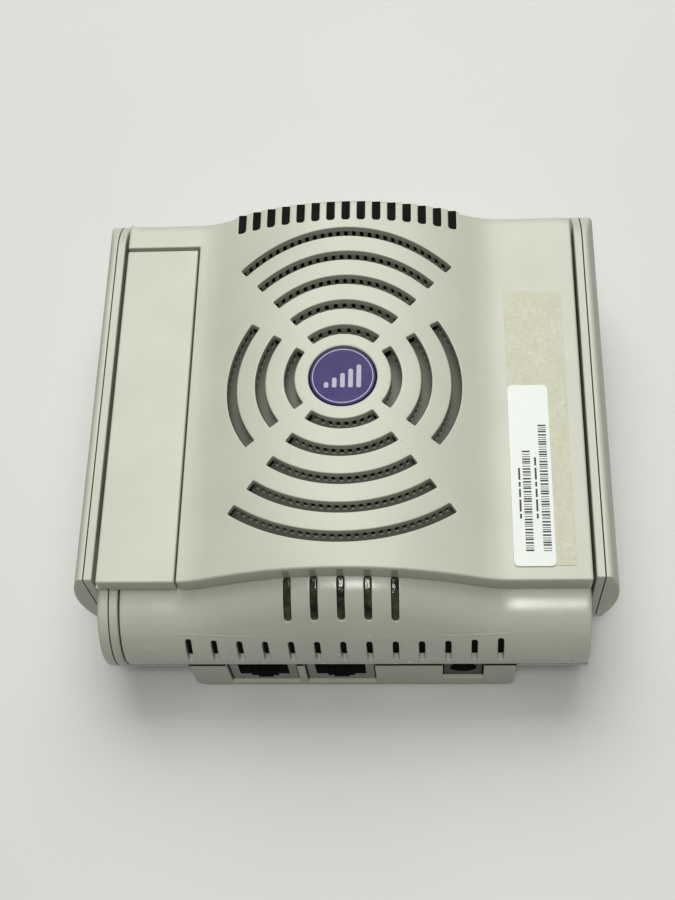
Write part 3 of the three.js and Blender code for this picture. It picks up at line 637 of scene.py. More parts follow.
def aged_adhesive(name):
    """Yellowed adhesive and paper fibres left where a label was peeled away."""
    color = (0.51, 0.51, 0.413)
    n = Nodes(name, color, 0.6)
    fibres = n.ramp(n.noise(1.1, 6, 0.7), 0.38, 0.62)
    patches = n.ramp(n.noise(4.5, 4, 0.6), 0.4, 0.62)
    shade = n.mix(fibres, scaled(color, 0.93), scaled(color, 1.10))
    shade = n.mix(n.math("MULTIPLY", patches, 0.5), shade, (0.475, 0.467, 0.365))
    n.link(shade, "Base Color")
    n.link(n.bump(fibres, 0.3, 0.05), "Normal")
    return n.material


def paper(name, color):
    n = Nodes(name, color, 0.42)
    n.link(n.mix(n.ramp(n.noise(3, 4), 0.3, 0.7), scaled(color, 0.97), color), "Base Color")
    n.link(n.bump(n.noise(0.25, 2), 0.08, 0.02), "Normal")
    return n.material


CASING = moulded_plastic("casing", (0.505, 0.51, 0.43), 0.42)
SIDE_CASING = moulded_plastic("side_casing", (0.485, 0.49, 0.415), 0.40)
# Glossier casing for the round front edge. Its colour is a little lighter than the casing's, as painted light
# that brightens the barrel.
SMOOTH_LIT_CASING = moulded_plastic("smooth_casing", (0.515, 0.517, 0.446), 0.24, grain=0.75, specks=0.35)
# Painted shade: a darker copy of the casing for the posts deep in the ring slots, where they lie in shade.
GRILLE_POST_SHADE = moulded_plastic("grille_post_shade", (0.35, 0.35, 0.297), 0.5, specks=0.0)
# Painted shade: the grille floor is darkened to the shade it lies in at the bottom of the ring slots.
GRILLE_FLOOR_SHADE = moulded_plastic("grille_floor_shade", (0.15, 0.15, 0.125), 0.5, specks=0.0)
# Painted shade: darker casing for the patches on the lip above the status lights.
LIP_NOTCH_SHADE = moulded_plastic("lip_notch_shade", (0.30, 0.30, 0.25), 0.5, specks=0.0)
DARK = plain("dark_plastic", (0.016, 0.016, 0.015), 0.5)
POWER = plain("socket_plastic", (0.045, 0.045, 0.044), 0.45)
JACK_FACE = plain("jack_face", (0.27, 0.27, 0.25), 0.4, size_mm=3, spread=0.06)
# Painted shade: a near-black fill put in slots, hollows and gaps where the inside lies in shade.
SHADE_FILL = plain("painted_shade_fill", (0.009, 0.009, 0.007), 0.9, specular=0.15)
METAL = brushed_metal("steel", (0.62, 0.62, 0.62), 0.3)
BRASS = brushed_metal("brass", (0.72, 0.55, 0.26), 0.32)
BOARD = printed_board("board")
CHIP = plain("chip", (0.02, 0.021, 0.024), 0.55)
RUBBER = plain("rubber", (0.022, 0.022, 0.023), 0.75, size_mm=0.8, bump=0.3)
CLEAR = clear_pipe("clear_pipe")
LED = plain("led", (0.45, 0.45, 0.38), 0.3)
BADGE = plain("badge_violet", (0.046, 0.029, 0.136), 0.4, size_mm=2, spread=0.06, bump=0.05, specular=0.25)
BADGE_PRINT = plain("badge_print", (0.36, 0.345, 0.41), 0.35, size_mm=1, spread=0.05, bump=0.05)
LABEL = paper("label", (0.655, 0.69, 0.655))
INK = plain("ink", (0.03, 0.03, 0.03), 0.5, size_mm=0.5)
RESIDUE = aged_adhesive("residue")


# ---- top cover

COVER_EDGE = 0.55
BACK_ROUND = 0.7
BACK_DROP = SHOULDER - BACK_ROUND - SKIRT_LOW
BACK_BEND = COVER_BACK - BACK_ROUND
BACK_ARC = BACK_ROUND * math.pi / 2
PANEL_BACK = BACK_BEND + BACK_ARC + BACK_DROP


def cover_point(p, depth):
    """The cover's skin unrolled: Y runs over the top, round the back edge and down the back wall."""
    top = cover_top(p.x)
    if p.y <= BACK_BEND:
        return Vector((p.x, p.y, top - depth))
    turn = min((p.y - BACK_BEND) / BACK_ROUND, math.pi / 2)
    reach = BACK_ROUND - depth
    y = BACK_BEND + reach * math.sin(turn)
    z = top - BACK_ROUND + reach * math.cos(turn)
    if p.y > BACK_BEND + BACK_ARC:
        z = top - BACK_ROUND - (p.y - BACK_BEND - BACK_ARC) / BACK_DROP * (top - BACK_ROUND - SKIRT_LOW)
    return Vector((p.x, y, z))


def ring_slots(fillet):
    return [
        Sector(RING_FIRST + i * RING_PITCH, RING_FIRST + i * RING_PITCH + RING_WIDTH, middle, half, fillet)
        for middle, half, count in SECTORS
        for i in range(count)
    ]


def back_slot(x):
    drop = cover_top(x) - BACK_ROUND
    low = BACK_BEND + BACK_ARC + (drop - BACK_SLOT_LOW) / (drop - SKIRT_LOW) * BACK_DROP
    return slot_hole(x, BACK_SLOT_WIDTH, COVER_BACK - BACK_SLOT_REACH, low, 0.8, 0.25, steps=9)


def build_cover():
    edge = COVER_EDGE
    outer = Outline([
        (RECESS_RIGHT, COVER_FRONT, 0.4, edge, 60),
        (BODY_HALF, COVER_FRONT, 0.5, edge, 40),
        (BODY_HALF, PANEL_BACK, 0.0, 0.2, 70),
        (-BODY_HALF, PANEL_BACK, 0.0, edge, 20),
        (-BODY_HALF, RECESS_BACK, 0.3, 0.3, 14),
        (RECESS_RIGHT, RECESS_BACK, 0.3, 0.3, 60),
    ])
    holes = [*ring_slots(0.28), Hole(circle(0, GRILLE_Y, BADGE_RADIUS + GAP, 0.35), arc_steps=14)]
    holes += [back_slot(x) for x in centred(BACK_SLOTS, BACK_SLOT_PITCH)]
    build = Build()
    plate(build, outer, cover_point, lambda p: cover_point(p, SKIN), holes, (1.45, 2.0, 0.5))
    object_from(build, "cover", CASING, "top_cover", angle=50)


def build_cover_walls():
    """The blade's recess, the front lip and the side walls, which hang under the cover's skin."""
    under_skin = lambda p: cover_top(p.x) - SKIN
    lip_low = lambda p: cover_top(p.x) - LIP
    steps = 70
    width = BODY_HALF - RECESS_RIGHT
    path = [Vector((-BODY_HALF, RECESS_BACK)), Vector((RECESS_RIGHT, RECESS_BACK)),
            Vector((RECESS_RIGHT, COVER_FRONT + 0.4))]
    path += [Vector((RECESS_RIGHT + width * i / steps, COVER_FRONT)) for i in range(1, steps)]
    path += rounded_path([
        (BODY_HALF - 1, COVER_FRONT, 0), (BODY_HALF, COVER_FRONT, 0.5), (BODY_HALF, RIB_Y, 0),
    ])
    build = Build()
    strip(build, path, under_skin, lip_low, 2.0, 0.3)
    skirt, skirt_end = lambda p: SKIRT_LOW, COVER_BACK - SKIN + 0.2
    strip(build, [Vector((BODY_HALF, RIB_Y)), Vector((BODY_HALF, skirt_end))], under_skin, skirt, 1.9)
    strip(build, [Vector((-BODY_HALF, skirt_end)), Vector((-BODY_HALF, RECESS_BACK))], under_skin, skirt, 1.9)
    object_from(build, "cover_walls", SIDE_CASING)
    floor = Outline([
        (NOTCH_X, RIB_Y + GAP, 0, 0.2, 1), (RECESS_RIGHT, RIB_Y + GAP, 0, 0, 1),
        (RECESS_RIGHT, RECESS_BACK, 0, 0, 1), (-BODY_HALF, RECESS_BACK, 0, 0.3, 1),
        (-BODY_HALF, NOTCH_BACK, 0.3, 0.3, 1), (NOTCH_X, NOTCH_BACK, 0.3, 0.3, 1),
    ])
    build = Build()
    flat_plate(build, floor, "Z", RECESS_FLOOR, SKIRT_LOW)
    object_from(build, "blade_recess", SIDE_CASING)


# ---- grille depths

WINDOW_TOP = SKIN - 0.05
WINDOW_LOW = 4.55
WINDOW_WIDTH = 0.95
COMB_THICK = 0.5
FLOOR_DEPTH = 4.6


def arch_window(u, width, top, low):
    """A window with an arched top, in a plane where the second axis is depth."""
    half = width / 2
    return Outline(rectangle(u - half, u + half, top, low, half * 0.98, far_radius=0.1), arc_steps=4)


def comb_wall(build, radius, inward, middle, half, count):
    """A row of posts between arched windows, standing along one edge of a ring slot."""
    length = math.radians(half * 2) * radius
    pitch = length / (count + 0.1)
    outer = Outline(rectangle(0, length, WINDOW_TOP, WINDOW_LOW, steps_x=max(int(length), 1)))
    windows = [arch_window(length / 2 + u, WINDOW_WIDTH, WINDOW_TOP + 0.12, WINDOW_LOW - 0.15)
               for u in centred(count, pitch)]
    start = math.radians(middle - half)

    def at(p, depth):
        angle = start + p.x / radius
        reach = radius + (-depth if inward else depth)
        x, y = reach * math.cos(angle), GRILLE_Y + reach * math.sin(angle)
        return Vector((x, y, cover_top(x) - p.y))

    loops = [shape.loop() for shape in (outer, *windows)]
    front, back = (
        [(loop, build.add([at(p, depth) for p in loop])) for loop in loops] for depth in (0, COMB_THICK)
    )
    for (_, near_row), (_, far_row) in zip(front, back):
        build.band(near_row, far_row)
    build.sheet(front[0], front[1:], [], lambda p: at(p, 0))
    build.sheet(back[0], back[1:], [], lambda p: at(p, COMB_THICK), up=False)


def build_grille_depths():
    combs = Build()
    for middle, half, count in SECTORS:
        windows = LONG_WINDOWS if count == len(LONG_WINDOWS) else SHORT_WINDOWS
        for i in range(count):
            inner = RING_FIRST + i * RING_PITCH
            comb_wall(combs, inner - 0.02, True, middle, half + 0.4, windows[i])
            comb_wall(combs, inner + RING_WIDTH + 0.02, False, middle, half + 0.4, windows[i])
    # The posts take the darker casing copy as painted shade.
    object_from(combs, "grille_posts", GRILLE_POST_SHADE)

    half = FLAT_START - 4
    outer = Outline(rectangle(-half, half, BAFFLE_LOW.y, BAFFLE_HIGH.y, steps_x=34, steps_y=40))
    grid = (2.0, 6.0, 0.5)
    floor = Build()
    dome_plate(floor, outer, FLOOR_DEPTH, 1.4, grid=grid)
    # The floor takes the darkened material as painted shade.
    object_from(floor, "grille_floor", GRILLE_FLOOR_SHADE, "vent_baffle")

    # Painted shade: near-black sheets under the cover's skin and just above the grille floor, between the
    # ring slots, where the inside lies in shade.
    liner = Build()
    holes = [Sector(s.inner - 0.55, s.outer + 0.55, math.degrees(s.middle), math.degrees(s.half) + 1.2, 0)
             for s in ring_slots(0)]
    dome_plate(liner, outer, FLOOR_DEPTH - 0.25, 0.2, holes, grid)
    dome_plate(liner, outer, SKIN + 0.06, 0.1, holes, grid)
    object_from(liner, "grille_shade_sheets", SHADE_FILL, slot="dark_plastic")


def build_back_slot_shade():
    """Painted shade: a near-black fill behind the back slots, where the inside lies in shade."""
    build = Build()
    for x in centred(BACK_SLOTS, BACK_SLOT_PITCH):
        half, high, low = BACK_SLOT_WIDTH / 2 - 0.02, cover_top(x) - 0.32, BACK_SLOT_LOW + GAP
        front, back = COVER_BACK - BACK_SLOT_REACH + 0.1, COVER_BACK - 0.14
        outline = [(front, high), (back - 0.2, high), (back, high - 0.2), (back, low), (front, low)]
        build.tube(*[[(x + side, y, z) for y, z in outline] for side in (-half, half)])
    object_from(build, "back_slot_shade", SHADE_FILL, slot="dark_plastic")


# ---- badge

BADGE_SINK = 0.22
RIM_RADIUS = 7.2
RIM_WIDTH = 0.25
BARS = 5
BAR_PITCH = 1.9
BAR_WIDTH = 1.1
BAR_LOW = -3.1
BAR_FIRST = 1.5
BAR_RISE = 1.15
PRINT = 0.03


def build_badge():
    disc = Build()
    dome_plate(disc, Outline(circle(0, GRILLE_Y, BADGE_RADIUS, 0.25), 16), BADGE_SINK, 1.0)
    object_from(disc, "badge_disc", BADGE, "badge", slot="badge")
    mark = Build()
    ring = Outline(circle(0, GRILLE_Y, RIM_RADIUS, 0.02), 16)
    middle = Hole(circle(0, GRILLE_Y, RIM_RADIUS - RIM_WIDTH, 0.02), 16)
    dome_plate(mark, ring, BADGE_SINK - PRINT, 0.1, [middle])
    half, low = BAR_WIDTH / 2, GRILLE_Y + BAR_LOW
    for i, x in enumerate(centred(BARS, BAR_PITCH)):
        high = low + BAR_FIRST + i * BAR_RISE
        bar = Outline(rectangle(x - half, x + half, low, high, 0.3, 0.02, far_radius=0.5))
        dome_plate(mark, bar, BADGE_SINK - PRINT, 0.1, grid=(0.6, 0.6, 0.3))
    object_from(mark, "badge_bars", BADGE_PRINT, slot="badge")


# ---- middle housing

ARC = BARREL_RADIUS * math.pi / 2
FRONT_LEAN = 0.4   # how far the front falls back from its foremost line to the joint
BARREL_LOW = BARREL_Z - SEAM
FLAT_BACK = RIB_Y - BARREL_Y
FRONT_LOW_Y = BARREL_Y - BARREL_RADIUS + FRONT_LEAN
LIGHT_LOW = BARREL_RADIUS * math.asin((BARREL_Y - LIGHT_FRONT) / BARREL_RADIUS)


def front_point(p, depth):
    """The round front edge unrolled: the second axis runs from its top down the front."""
    if p.y < 0:
        return Vector((p.x, BARREL_Y - p.y, barrel_top(p.x) - depth))
    if p.y <= ARC:
        return barrel_point(p.x, math.degrees(p.y / BARREL_RADIUS), depth)
    down = p.y - ARC
    lean = FRONT_LEAN * down / BARREL_LOW
    return Vector((p.x, BARREL_Y - BARREL_RADIUS + depth + lean, BARREL_Z - down))


def along_at_height(x, z):
    return BARREL_RADIUS * math.acos((z - BARREL_Z) / (barrel_top(x) - BARREL_Z))


def vent_top(x):
    """Where a vent starts: those under the dome reach a little higher."""
    return along_at_height(x, VENT_HIGH + VENT_RISE * (cover_top(x) - SHOULDER))


def vent_hole(x):
    return slot_hole(x, VENT_WIDTH, vent_top(x), along_at_height(x, VENT_LOW), 0.66, 0.14)


def light_hole(x):
    return slot_hole(x, LIGHT_WIDTH, 1.0, LIGHT_LOW, 0.8, 0.2, steps=8)


def end_cap(build, x, toward):
    """The flat end of the round front edge, flush with its rim."""
    angles = [90 * (1 - i / 24) for i in range(25)]
    edge = [Vector((FRONT_LOW_Y + BARREL_WALL, SEAM))]
    edge += [barrel_point(BODY_HALF, angle, BARREL_WALL).yz for angle in angles]
    edge += [Vector((RIB_Y, edge[-1].y)), Vector((RIB_Y, SEAM))]
    build.tube(*[[(x - side, p.x, p.y) for p in edge] for side in (0, toward * BARREL_WALL)])


def build_housing():
    skin = Outline([
        (NOTCH_X, -FLAT_BACK, 0, 0.1, 70), (BODY_HALF, -FLAT_BACK, 0, 0.7, 40),
        (BODY_HALF, ARC + BARREL_LOW, 0.2, 0.3, 70), (NOTCH_X, ARC + BARREL_LOW, 0.2, 0.35, 40),
    ])
    holes = [light_hole(x) for x in centred(LIGHTS, LIGHT_PITCH)]
    holes += [vent_hole(x) for x in centred(VENTS, VENT_PITCH)]
    build = Build()
    plate(build, skin, front_point, lambda p: front_point(p, BARREL_WALL), holes, (1.5, 0.9, 0.35))
    object_from(build, "front_edge", SMOOTH_LIT_CASING, "middle_housing", slot="smooth_casing", angle=50)

    ends = Build()
    end_cap(ends, BODY_HALF, 1)
    end_cap(ends, NOTCH_X, -1)
    object_from(ends, "front_edge_ends", SMOOTH_LIT_CASING, slot="smooth_casing")

    walls = Build()
    path = rounded_path([
        (BODY_HALF, RIB_Y, 0), (BODY_HALF, COVER_BACK, 0.5), (-BODY_HALF, COVER_BACK, 0.5),
        (-BODY_HALF, NOTCH_BACK, 0.3), (NOTCH_X, NOTCH_BACK, 0.01), (NOTCH_X, BARREL_Y - 2, 0),
    ])
    strip(walls, path, lambda p: SKIRT_LOW - GAP, lambda p: SEAM, 2.0, 0.25)
    object_from(walls, "housing_walls", SIDE_CASING, slot="smooth_casing")


def build_vent_shade():
    """Painted shade: a near-black sheet behind the vents, where the inside lies in shade."""
    build = Build()
    half = VENTS / 2 * VENT_PITCH
    high, low = along_at_height(half, VENT_HIGH + 2.5), along_at_height(half, VENT_LOW - 1.5)
    sheet = Outline(rectangle(-half, half, high, low, steps_x=50, steps_y=8))
    plate(build, sheet, lambda p, d: front_point(p, BARREL_WALL + 0.3 + d),
          lambda p: front_point(p, BARREL_WALL + 0.7), grid=(1.5, 1.2, 0.3))
    object_from(build, "vent_shade", SHADE_FILL, slot="dark_plastic")


PANEL_HALF = 37.7
PANEL_MARGIN = 1.3
BEAD_HALF = 0.2
BEAD_HIGH = 0.07
BEAD_ROOT = 0.3


def bead(build, path, across):
    """A fine raised line on the round front edge, along unrolled points."""
    left = [(-1, -BEAD_ROOT), (-1, 0), (-1 / 3, 1)]
    sides = left + [(-side, rise) for side, rise in reversed(left)]
    build.tube(*[
        [front_point(p + across * BEAD_HALF * side, -BEAD_HIGH * rise) for side, rise in sides] for p in path
    ])


def panel_line(x):
    return vent_top(x) - PANEL_MARGIN


def build_panel_bead():
    """The faint border of the panel that the vents are cut in."""
    build = Build()
    xs = [PANEL_HALF * (i - 40) / 40 for i in range(81)]
    bead(build, [Vector((x, panel_line(x))) for x in xs], Vector((0, 1)))
    top, low = panel_line(PANEL_HALF), ARC + BARREL_LOW - 0.5
    for x in (-PANEL_HALF, PANEL_HALF):
        bead(build, [Vector((x, top + (low - top) * i / 12)) for i in range(13)], Vector((1, 0)))
    object_from(build, "vent_panel_border", SMOOTH_LIT_CASING, slot="smooth_casing")


def build_lip_notch_shades():
    """Painted shade on the cover's lip: one dark patch above each status light, standing for a shallow notch.
    """
    build = Build()
    for x in centred(LIGHTS, LIGHT_PITCH):
        low, high, half = cover_top(x) - LIP + 0.4, cover_top(x) - 1.1, 0.75
        build.block((x - half, COVER_FRONT - 0.012, low), (x + half, COVER_FRONT + 0.2, high))
    object_from(build, "lip_notch_shades", LIP_NOTCH_SHADE)


# ---- joint of the casing, sockets and lights

RIM_LOW = 15.5
SOCKET_FACE = 0.25
SOCKETS = ("ethernet_jack_1", "ethernet_jack_2", "power_jack")


def build_joint():
    """A near-black painted shadow in the joint between the two halves of the casing, and the rim under it on
    the raised sides.
    """
    dark = Build()
    edges = [NOTCH_X]
    for low, high in (box_mm(name) for name in SOCKETS):
        edges += [low.x - GAP, high.x + GAP]
    edges.append(BODY_HALF)
    for left, right in zip(edges[::2], edges[1::2]):
        dark.block((left + 0.1, FRONT_LOW_Y + 0.1, RIM_LOW), (right - 0.1, FRONT_LOW_Y + 0.9, SEAM + 0.3))
    object_from(dark, "joint_shadow", SHADE_FILL, slot="dark_plastic")
    rim = Build()
    for left, right in ((NOTCH_X, BASE_LEFT), (BASE_RIGHT, BODY_HALF)):
        path = [Vector((x, FRONT_LOW_Y + 0.03)) for x in (left, right)]
        strip(rim, path, lambda p: SEAM - GAP, lambda p: RIM_LOW, 1.0, 0.3)
    object_from(rim, "tray_rim", SIDE_CASING)


def build_socket_gap_shade():
    """Painted shade in the clearance round each socket, behind the front face."""
    build = Build()
    for name in SOCKETS:
        low, high = box_mm(name)
        front, back, floor, roof = low.y + 0.1, low.y + 3, low.z - GAP, min(high.z, SEAM)
        build.block((low.x - GAP, front, floor), (low.x - 0.02, back, roof))
        build.block((high.x + 0.02, front, floor), (high.x + GAP, back, roof))
    object_from(build, "socket_gap_shade", SHADE_FILL, slot="dark_plastic")


def build_lenses():
    """The ends of the light pipes, following the round front edge."""
    build = Build()
    low = LIGHT_LOW - 0.12
    half = LIGHT_WIDTH / 2 - 0.1
    for x in centred(LIGHTS, LIGHT_PITCH):
        lens = Outline(rectangle(x - half, x + half, 0.9, low, 0.1, 0.25, 1, 8, far_radius=0.7))
        plate(build, lens, lambda p, d: front_point(p, 0.3 + d), lambda p: front_point(p, 1.1),
              grid=(0.5, 0.9, 0.2))
    object_from(build, "light_lenses", CLEAR, slot="clear_plastic")


# ---- socket contacts

CONTACTS = 8
CONTACT_PITCH = 1.02
CONTACT_WIDTH = 0.45
CONTACT_THICK = 0.25
CONTACT_LINE = ((2.4, 0), (2.9, 0.5), (9.0, 3.2), (10.0, 3.0))   # behind the face, under the roof


def build_contacts():
    """Sprung gold contacts under the roof of each network socket."""
    build = Build()
    for jack in SOCKETS[:2]:
        low, high = box_mm(jack)
        front, roof = low.y, high.z - 2.4
        for x in centred(CONTACTS, CONTACT_PITCH):
            middle = (low.x + high.x) / 2 + x
            left, right = middle - CONTACT_WIDTH / 2, middle + CONTACT_WIDTH / 2
            line = [(front + ahead, roof - down) for ahead, down in CONTACT_LINE]
            build.tube(*[
                [(left, y, z), (right, y, z), (right, y, z - CONTACT_THICK), (left, y, z - CONTACT_THICK)]
                for y, z in line
            ])
    object_from(build, "socket_contacts", BRASS, slot="shield")


# ---- side antennas

PADDLE_WIDEST = PADDLE_HIGH.x - 0.02
PADDLE_INNER_FACE = 56.5
PADDLE_SEAM = 58.35
PADDLE_HUB_RADIUS = 7
BULGE_Z = 27.0                   # height where the face stands out most
BULGE_TOP = (2.75, 12.5)         # drop of the face over a rise of so much above it
BULGE_FOOT = (2.6, 13)           # and below it


def paddle_outline(edge, front_edge):
    y, z = HINGES["right_antenna_hinge"].yz
    low, high = PADDLE_LOW.z, PADDLE_HIGH.z
    radius = (high - low) / 2
    return Outline([
        (PADDLE_LOW.y, low, 0.4, edge, 36), (y + radius, low, radius, edge, 1),
        (y + radius, high, radius, edge, 36), (PADDLE_LOW.y, high, 0.4, front_edge, 12),
    ], arc_steps=18)


def bulge(z):
    """How far out a side antenna's face is at each height."""
    drop, rise = BULGE_TOP if z > BULGE_Z else BULGE_FOOT
    return PADDLE_WIDEST - drop * ((z - BULGE_Z) / rise) ** 2


def build_paddle(side, name):
    build = Build()
    plate(build, paddle_outline(0.75, 0.45), lambda p, d: Vector((side * (bulge(p.y) - d), *p)),
          lambda p: Vector((side * PADDLE_LOW.x, *p)), grid=(2.5, 1.1, 0.5))
    object_from(build, f"{name}_face", CASING, f"{name}_outer_shell", body=name, angle=50)

    build = Build()
    flat_plate(build, paddle_outline(0.4, 0.3), "X", side * PADDLE_INNER_FACE, side * PADDLE_SEAM)
    hub = Outline(circle(*HINGES["right_antenna_hinge"].yz, PADDLE_HUB_RADIUS, 0.15), 12)
    flat_plate(build, hub, "X", side * (BODY_HALF + GAP), side * (PADDLE_INNER_FACE + GAP))
    object_from(build, f"{name}_back", SIDE_CASING, f"{name}_inner_shell", body=name)


# ---- top antenna

HUB_RADIUS = 14.0
HUB_OUTER, HUB_SEAM, HUB_INNER = BLADE_LOW.x, -53.5, -51.4
BLADE_LEFT, BLADE_RIGHT = -55.7, BLADE_HIGH.x
NECK_BACK = -33.3
BLADE_FRONT = COVER_FRONT
BLADE_JOINT = 36.0
BLADE_FLOOR = 34.7


def hub_outline(neck_top, edge, neck_edge):
    """A disc with the neck that rises to the blade, as (y, z) points."""
    front_rise = math.sqrt(HUB_RADIUS**2 - (BLADE_FRONT - BARREL_Y) ** 2)
    back_rise = math.sqrt(HUB_RADIUS**2 - (NECK_BACK - BARREL_Y) ** 2)
    first = math.atan2(front_rise, BLADE_FRONT - BARREL_Y)
    last = math.atan2(back_rise, NECK_BACK - BARREL_Y) + 2 * math.pi
    circle = arc_points(Vector((BARREL_Y, BARREL_Z)), HUB_RADIUS, first, last, 70)
    corners = [(p.x, p.y, 0, edge, 1) for p in circle[:-1]]
    corners.append((circle[-1].x, circle[-1].y, 0, neck_edge, 1))
    corners += [(NECK_BACK, neck_top, 0, 0.02, 1), (BLADE_FRONT, neck_top, 0, neck_edge, 1)]
    return Outline(corners, arc_steps=1)


def build_blade():
    blade = Outline(rectangle(BLADE_LEFT, BLADE_RIGHT, BLADE_FRONT, BLADE_HIGH.y, 0.5, 0.5, 8, 30))
    build = Build()
    flat_plate(build, blade, "Z", SHOULDER, BLADE_JOINT, grid=(4, 6, 1))
    flat_plate(build, hub_outline(BLADE_JOINT + 0.2, 0.9, 0.3), "X", HUB_OUTER, HUB_SEAM - GAP / 2)
    object_from(build, "blade_top", CASING, "top_antenna_outer_shell", body="top_antenna")

    lower = Outline([
        (BLADE_LEFT, NECK_BACK + GAP, 0.1, 0.4, 1), (HUB_SEAM + GAP / 2, NECK_BACK + GAP, 0.1, 0.1, 1),
        (HUB_SEAM + GAP / 2, BLADE_FRONT, 0.1, 0.4, 1), (BLADE_RIGHT, BLADE_FRONT, 0.5, 0.4, 1),
        (BLADE_RIGHT, BLADE_HIGH.y, 0.5, 0.4, 1), (BLADE_LEFT, BLADE_HIGH.y, 0.5, 0.4, 1),
    ])
    build = Build()
    flat_plate(build, lower, "Z", BLADE_FLOOR, BLADE_JOINT - GAP)
    flat_plate(build, hub_outline(BLADE_FLOOR + GAP, 0.5, 0.2), "X", HUB_INNER, HUB_SEAM + GAP / 2)
    object_from(build, "blade_bottom", SIDE_CASING, "top_antenna_inner_shell", body="top_antenna")


# ---- labels

LABEL_TOP = box_mm("product_label")[1].z
LONG_CODE = (45.1, 46.95, -38.4, -6.6)
SHORT_CODE = (41.2, 43.0, -38.4, -13.0)
CODE_MODULE = 0.42
DASHED_LINES = ((44.15, -30.5, -15.3), (40.4, -30.5, -20.0))
DASH_HALF = 0.22


def printed_bar(build, x0, x1, y0, y1):
    build.block((x0, y0, LABEL_TOP - 0.05), (x1, y1, LABEL_TOP + 0.015))


def build_label_bars():
    """Plain bars of mixed widths that stand for a code and carry none, with a dashed line beside each."""
    build = Build()
    for seed, (x0, x1, y0, y1) in enumerate((LONG_CODE, SHORT_CODE)):
        y, step = y0, seed * 3
        while y < y1 - CODE_MODULE:
            width = CODE_MODULE * (0.45 + 0.75 * ((step * step * 7 + step * 5) % 4) / 3)
            printed_bar(build, x0, x1, y, min(y + width, y1))
            y += width + CODE_MODULE * (0.5 + 0.6 * ((step * 11 + 3) % 5) / 4)
            step += 1
    for x, y0, y1 in DASHED_LINES:
        y, step = y0, 0
        while y < y1:
            run = 1.2 + (step * 5 % 3) * 0.9
            printed_bar(build, x - DASH_HALF, x + DASH_HALF, y, y + run)
            y += run + 0.55
            step += 1
    object_from(build, "label_bars", INK, slot="label")


# ---- pieces kept from the frame

KEPT = {
    "base_tray": (SIDE_CASING, 0.35), "rubber_foot": (RUBBER, 0.3), "case_screw": (METAL, 0.08),
    "main_board": (BOARD, 0.1), "board_screw": (METAL, 0.1), "processor": (CHIP, 0.12),
    "memory_chip": (CHIP, 0.1), "rf_shield": (METAL, 0.2), "lan_transformer": (CHIP, 0.2),
    "heat_sink": (METAL, 0.1), "capacitor": (CHIP, 0.3), "ethernet_jack": (JACK_FACE, 0.12),
    "power_jack": (POWER, 0.15), "light_pipe": (CLEAR, 0.12), "status_led": (LED, 0.1),
    "label_residue": (RESIDUE, 0.02), "product_label": (LABEL, 0.04),
}
KEPT_ENDS = {"_pin": (METAL, 0.25), "_bush": (BRASS, 0.15), "_element": (BOARD, 0.1), "_lead": (DARK, 0.05)}


def dress(node, material, width):
    """Rounds a node's edges and gives it its material."""
    node.data.materials.clear()
    node.data.materials.append(material)
    weld = node.modifiers.new("weld", "WELD")
    weld.merge_threshold = 1e-6
    flat = node.modifiers.new("flat", "DECIMATE")
    flat.decimate_type = "DISSOLVE"
    flat.angle_limit = math.radians(0.6)
    bevel = node.modifiers.new("edges", "BEVEL")
    bevel.width = width * MM
    bevel.segments = 3
    bevel.limit_method = "ANGLE"
    bevel.angle_limit = math.radians(35)
    shade_smooth(node)


def paint_socket_shade(node):
    """Everything behind a socket's front face gets the near-black painted shade."""
    node.data.materials.append(SHADE_FILL)
    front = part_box(node.name)[0].y + SOCKET_FACE * MM
    for face in node.data.polygons:
        if (node.matrix_world @ face.center).y > front:
            face.material_index = 1


def dress_frame():
    """Gives each kept piece its material and edge width, by its name."""
    for name, node in nodes.items():
        looks = [look for start, look in KEPT.items() if name == start or name.startswith(start + "_")]
        looks += [look for end, look in KEPT_ENDS.items() if name.endswith(end)]
        if looks:
            dress(node, *looks[0])
        if "_jack" in name:
            paint_socket_shade(node)


# ---- stage


def build_floor():
    n = Nodes("floor", (0.60, 0.60, 0.585), 0.6)
    n.link(n.mix(n.ramp(n.noise(160, 3), 0.3, 0.7), (0.59, 0.59, 0.573), (0.61, 0.61, 0.595)), "Base Color")
    n.link(n.bump(n.noise(0.8, 3), 0.05, 0.1), "Normal")
    mesh = bpy.data.meshes.new("floor")
    half = 3.0
    corners = [(-half, -half, 0), (half, -half, 0), (half, half, 0), (-half, half, 0)]
    mesh.from_pydata(corners, [], [(0, 1, 2, 3)])
    floor = bpy.data.objects.new("floor", mesh)
    scene.collection.objects.link(floor)
    mesh.materials.append(n.material)


WARM = (1.0, 0.995, 0.975)
COOL = (0.985, 1.0, 0.985)
AMBIENT = 0.03


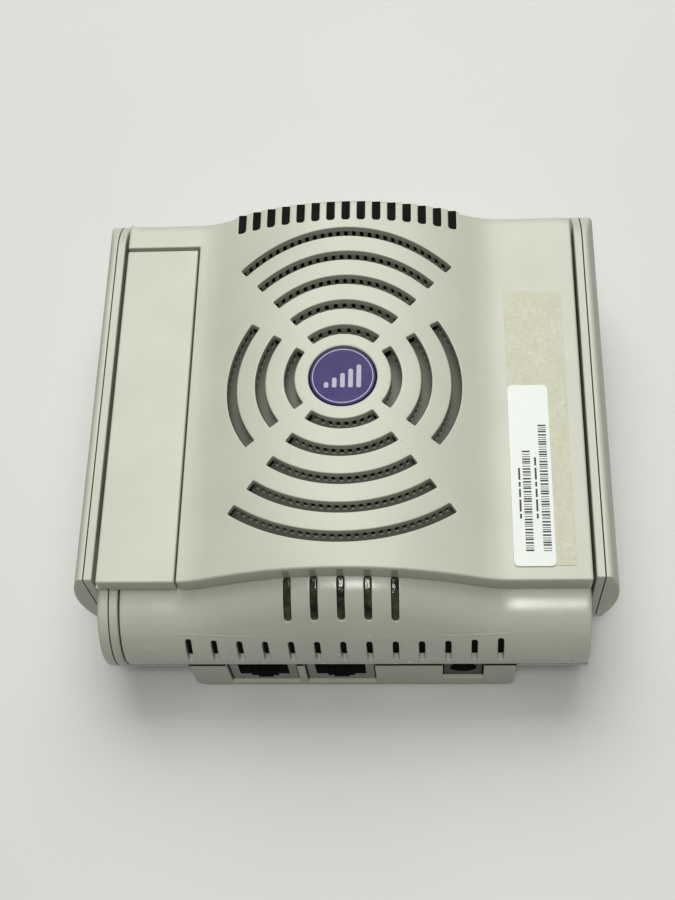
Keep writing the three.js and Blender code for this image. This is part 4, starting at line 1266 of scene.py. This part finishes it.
def area_light(name, place, size, power, color):
    """A round lamp at a place in metres, turned to the part."""
    light = bpy.data.lights.new(name, "AREA")
    light.shape = "DISK"
    light.size = size
    light.energy = power
    light.color = color
    obj = bpy.data.objects.new(name, light)
    obj.location = place
    obj.rotation_euler = (-Vector(place)).to_track_quat("-Z", "Y").to_euler()
    scene.collection.objects.link(obj)


def build_light():
    world = bpy.data.worlds.new("studio")
    world.use_nodes = True
    background = world.node_tree.nodes["Background"].inputs
    background["Color"].default_value = (1.0, 1.0, 0.985, 1)
    background["Strength"].default_value = AMBIENT
    scene.world = world
    area_light("front", (0.03, -0.40, 1.06), 0.36, 5.5, WARM)
    area_light("overhead", (0.02, 0.07, 1.12), 0.8, 2.8, WARM)
    area_light("behind", (-0.03, 0.66, 0.98), 1.05, 11.4, COOL)
    scene.view_settings.view_transform = "Standard"
    scene.view_settings.gamma = 0.88


CAMERA_PLACE = (20.08, -159.11, 332.5)
CAMERA_TILT = 63.17
CAMERA_TURN = -8.34
CAMERA_ROLL = -8.15
LENS = 56.34


def build_camera():
    tilt, turn, roll = (math.radians(a) for a in (CAMERA_TILT, CAMERA_TURN, CAMERA_ROLL))
    ahead = Vector((math.sin(turn) * math.cos(tilt), math.cos(turn) * math.cos(tilt), -math.sin(tilt)))
    right = ahead.cross(Vector((0, 0, 1))).normalized()
    up = right.cross(ahead)
    side = math.cos(roll) * right + math.sin(roll) * up
    top = -math.sin(roll) * right + math.cos(roll) * up
    data = bpy.data.cameras.new("camera")
    data.lens = LENS
    data.clip_start = 0.01
    camera = bpy.data.objects.new("camera", data)
    facing = Matrix((side, top, -ahead)).transposed().to_4x4()
    camera.matrix_world = Matrix.Translation(Vector(CAMERA_PLACE) * MM) @ facing
    scene.collection.objects.link(camera)
    scene.camera = camera


build_cover()
build_cover_walls()
build_grille_depths()
build_back_slot_shade()
build_badge()
build_housing()
build_vent_shade()
build_panel_bead()
build_lip_notch_shades()
build_joint()
build_socket_gap_shade()
build_lenses()
build_contacts()
build_paddle(-1, "left_antenna")
build_paddle(1, "right_antenna")
build_blade()
build_label_bars()
dress_frame()
build_floor()
build_light()
build_camera()
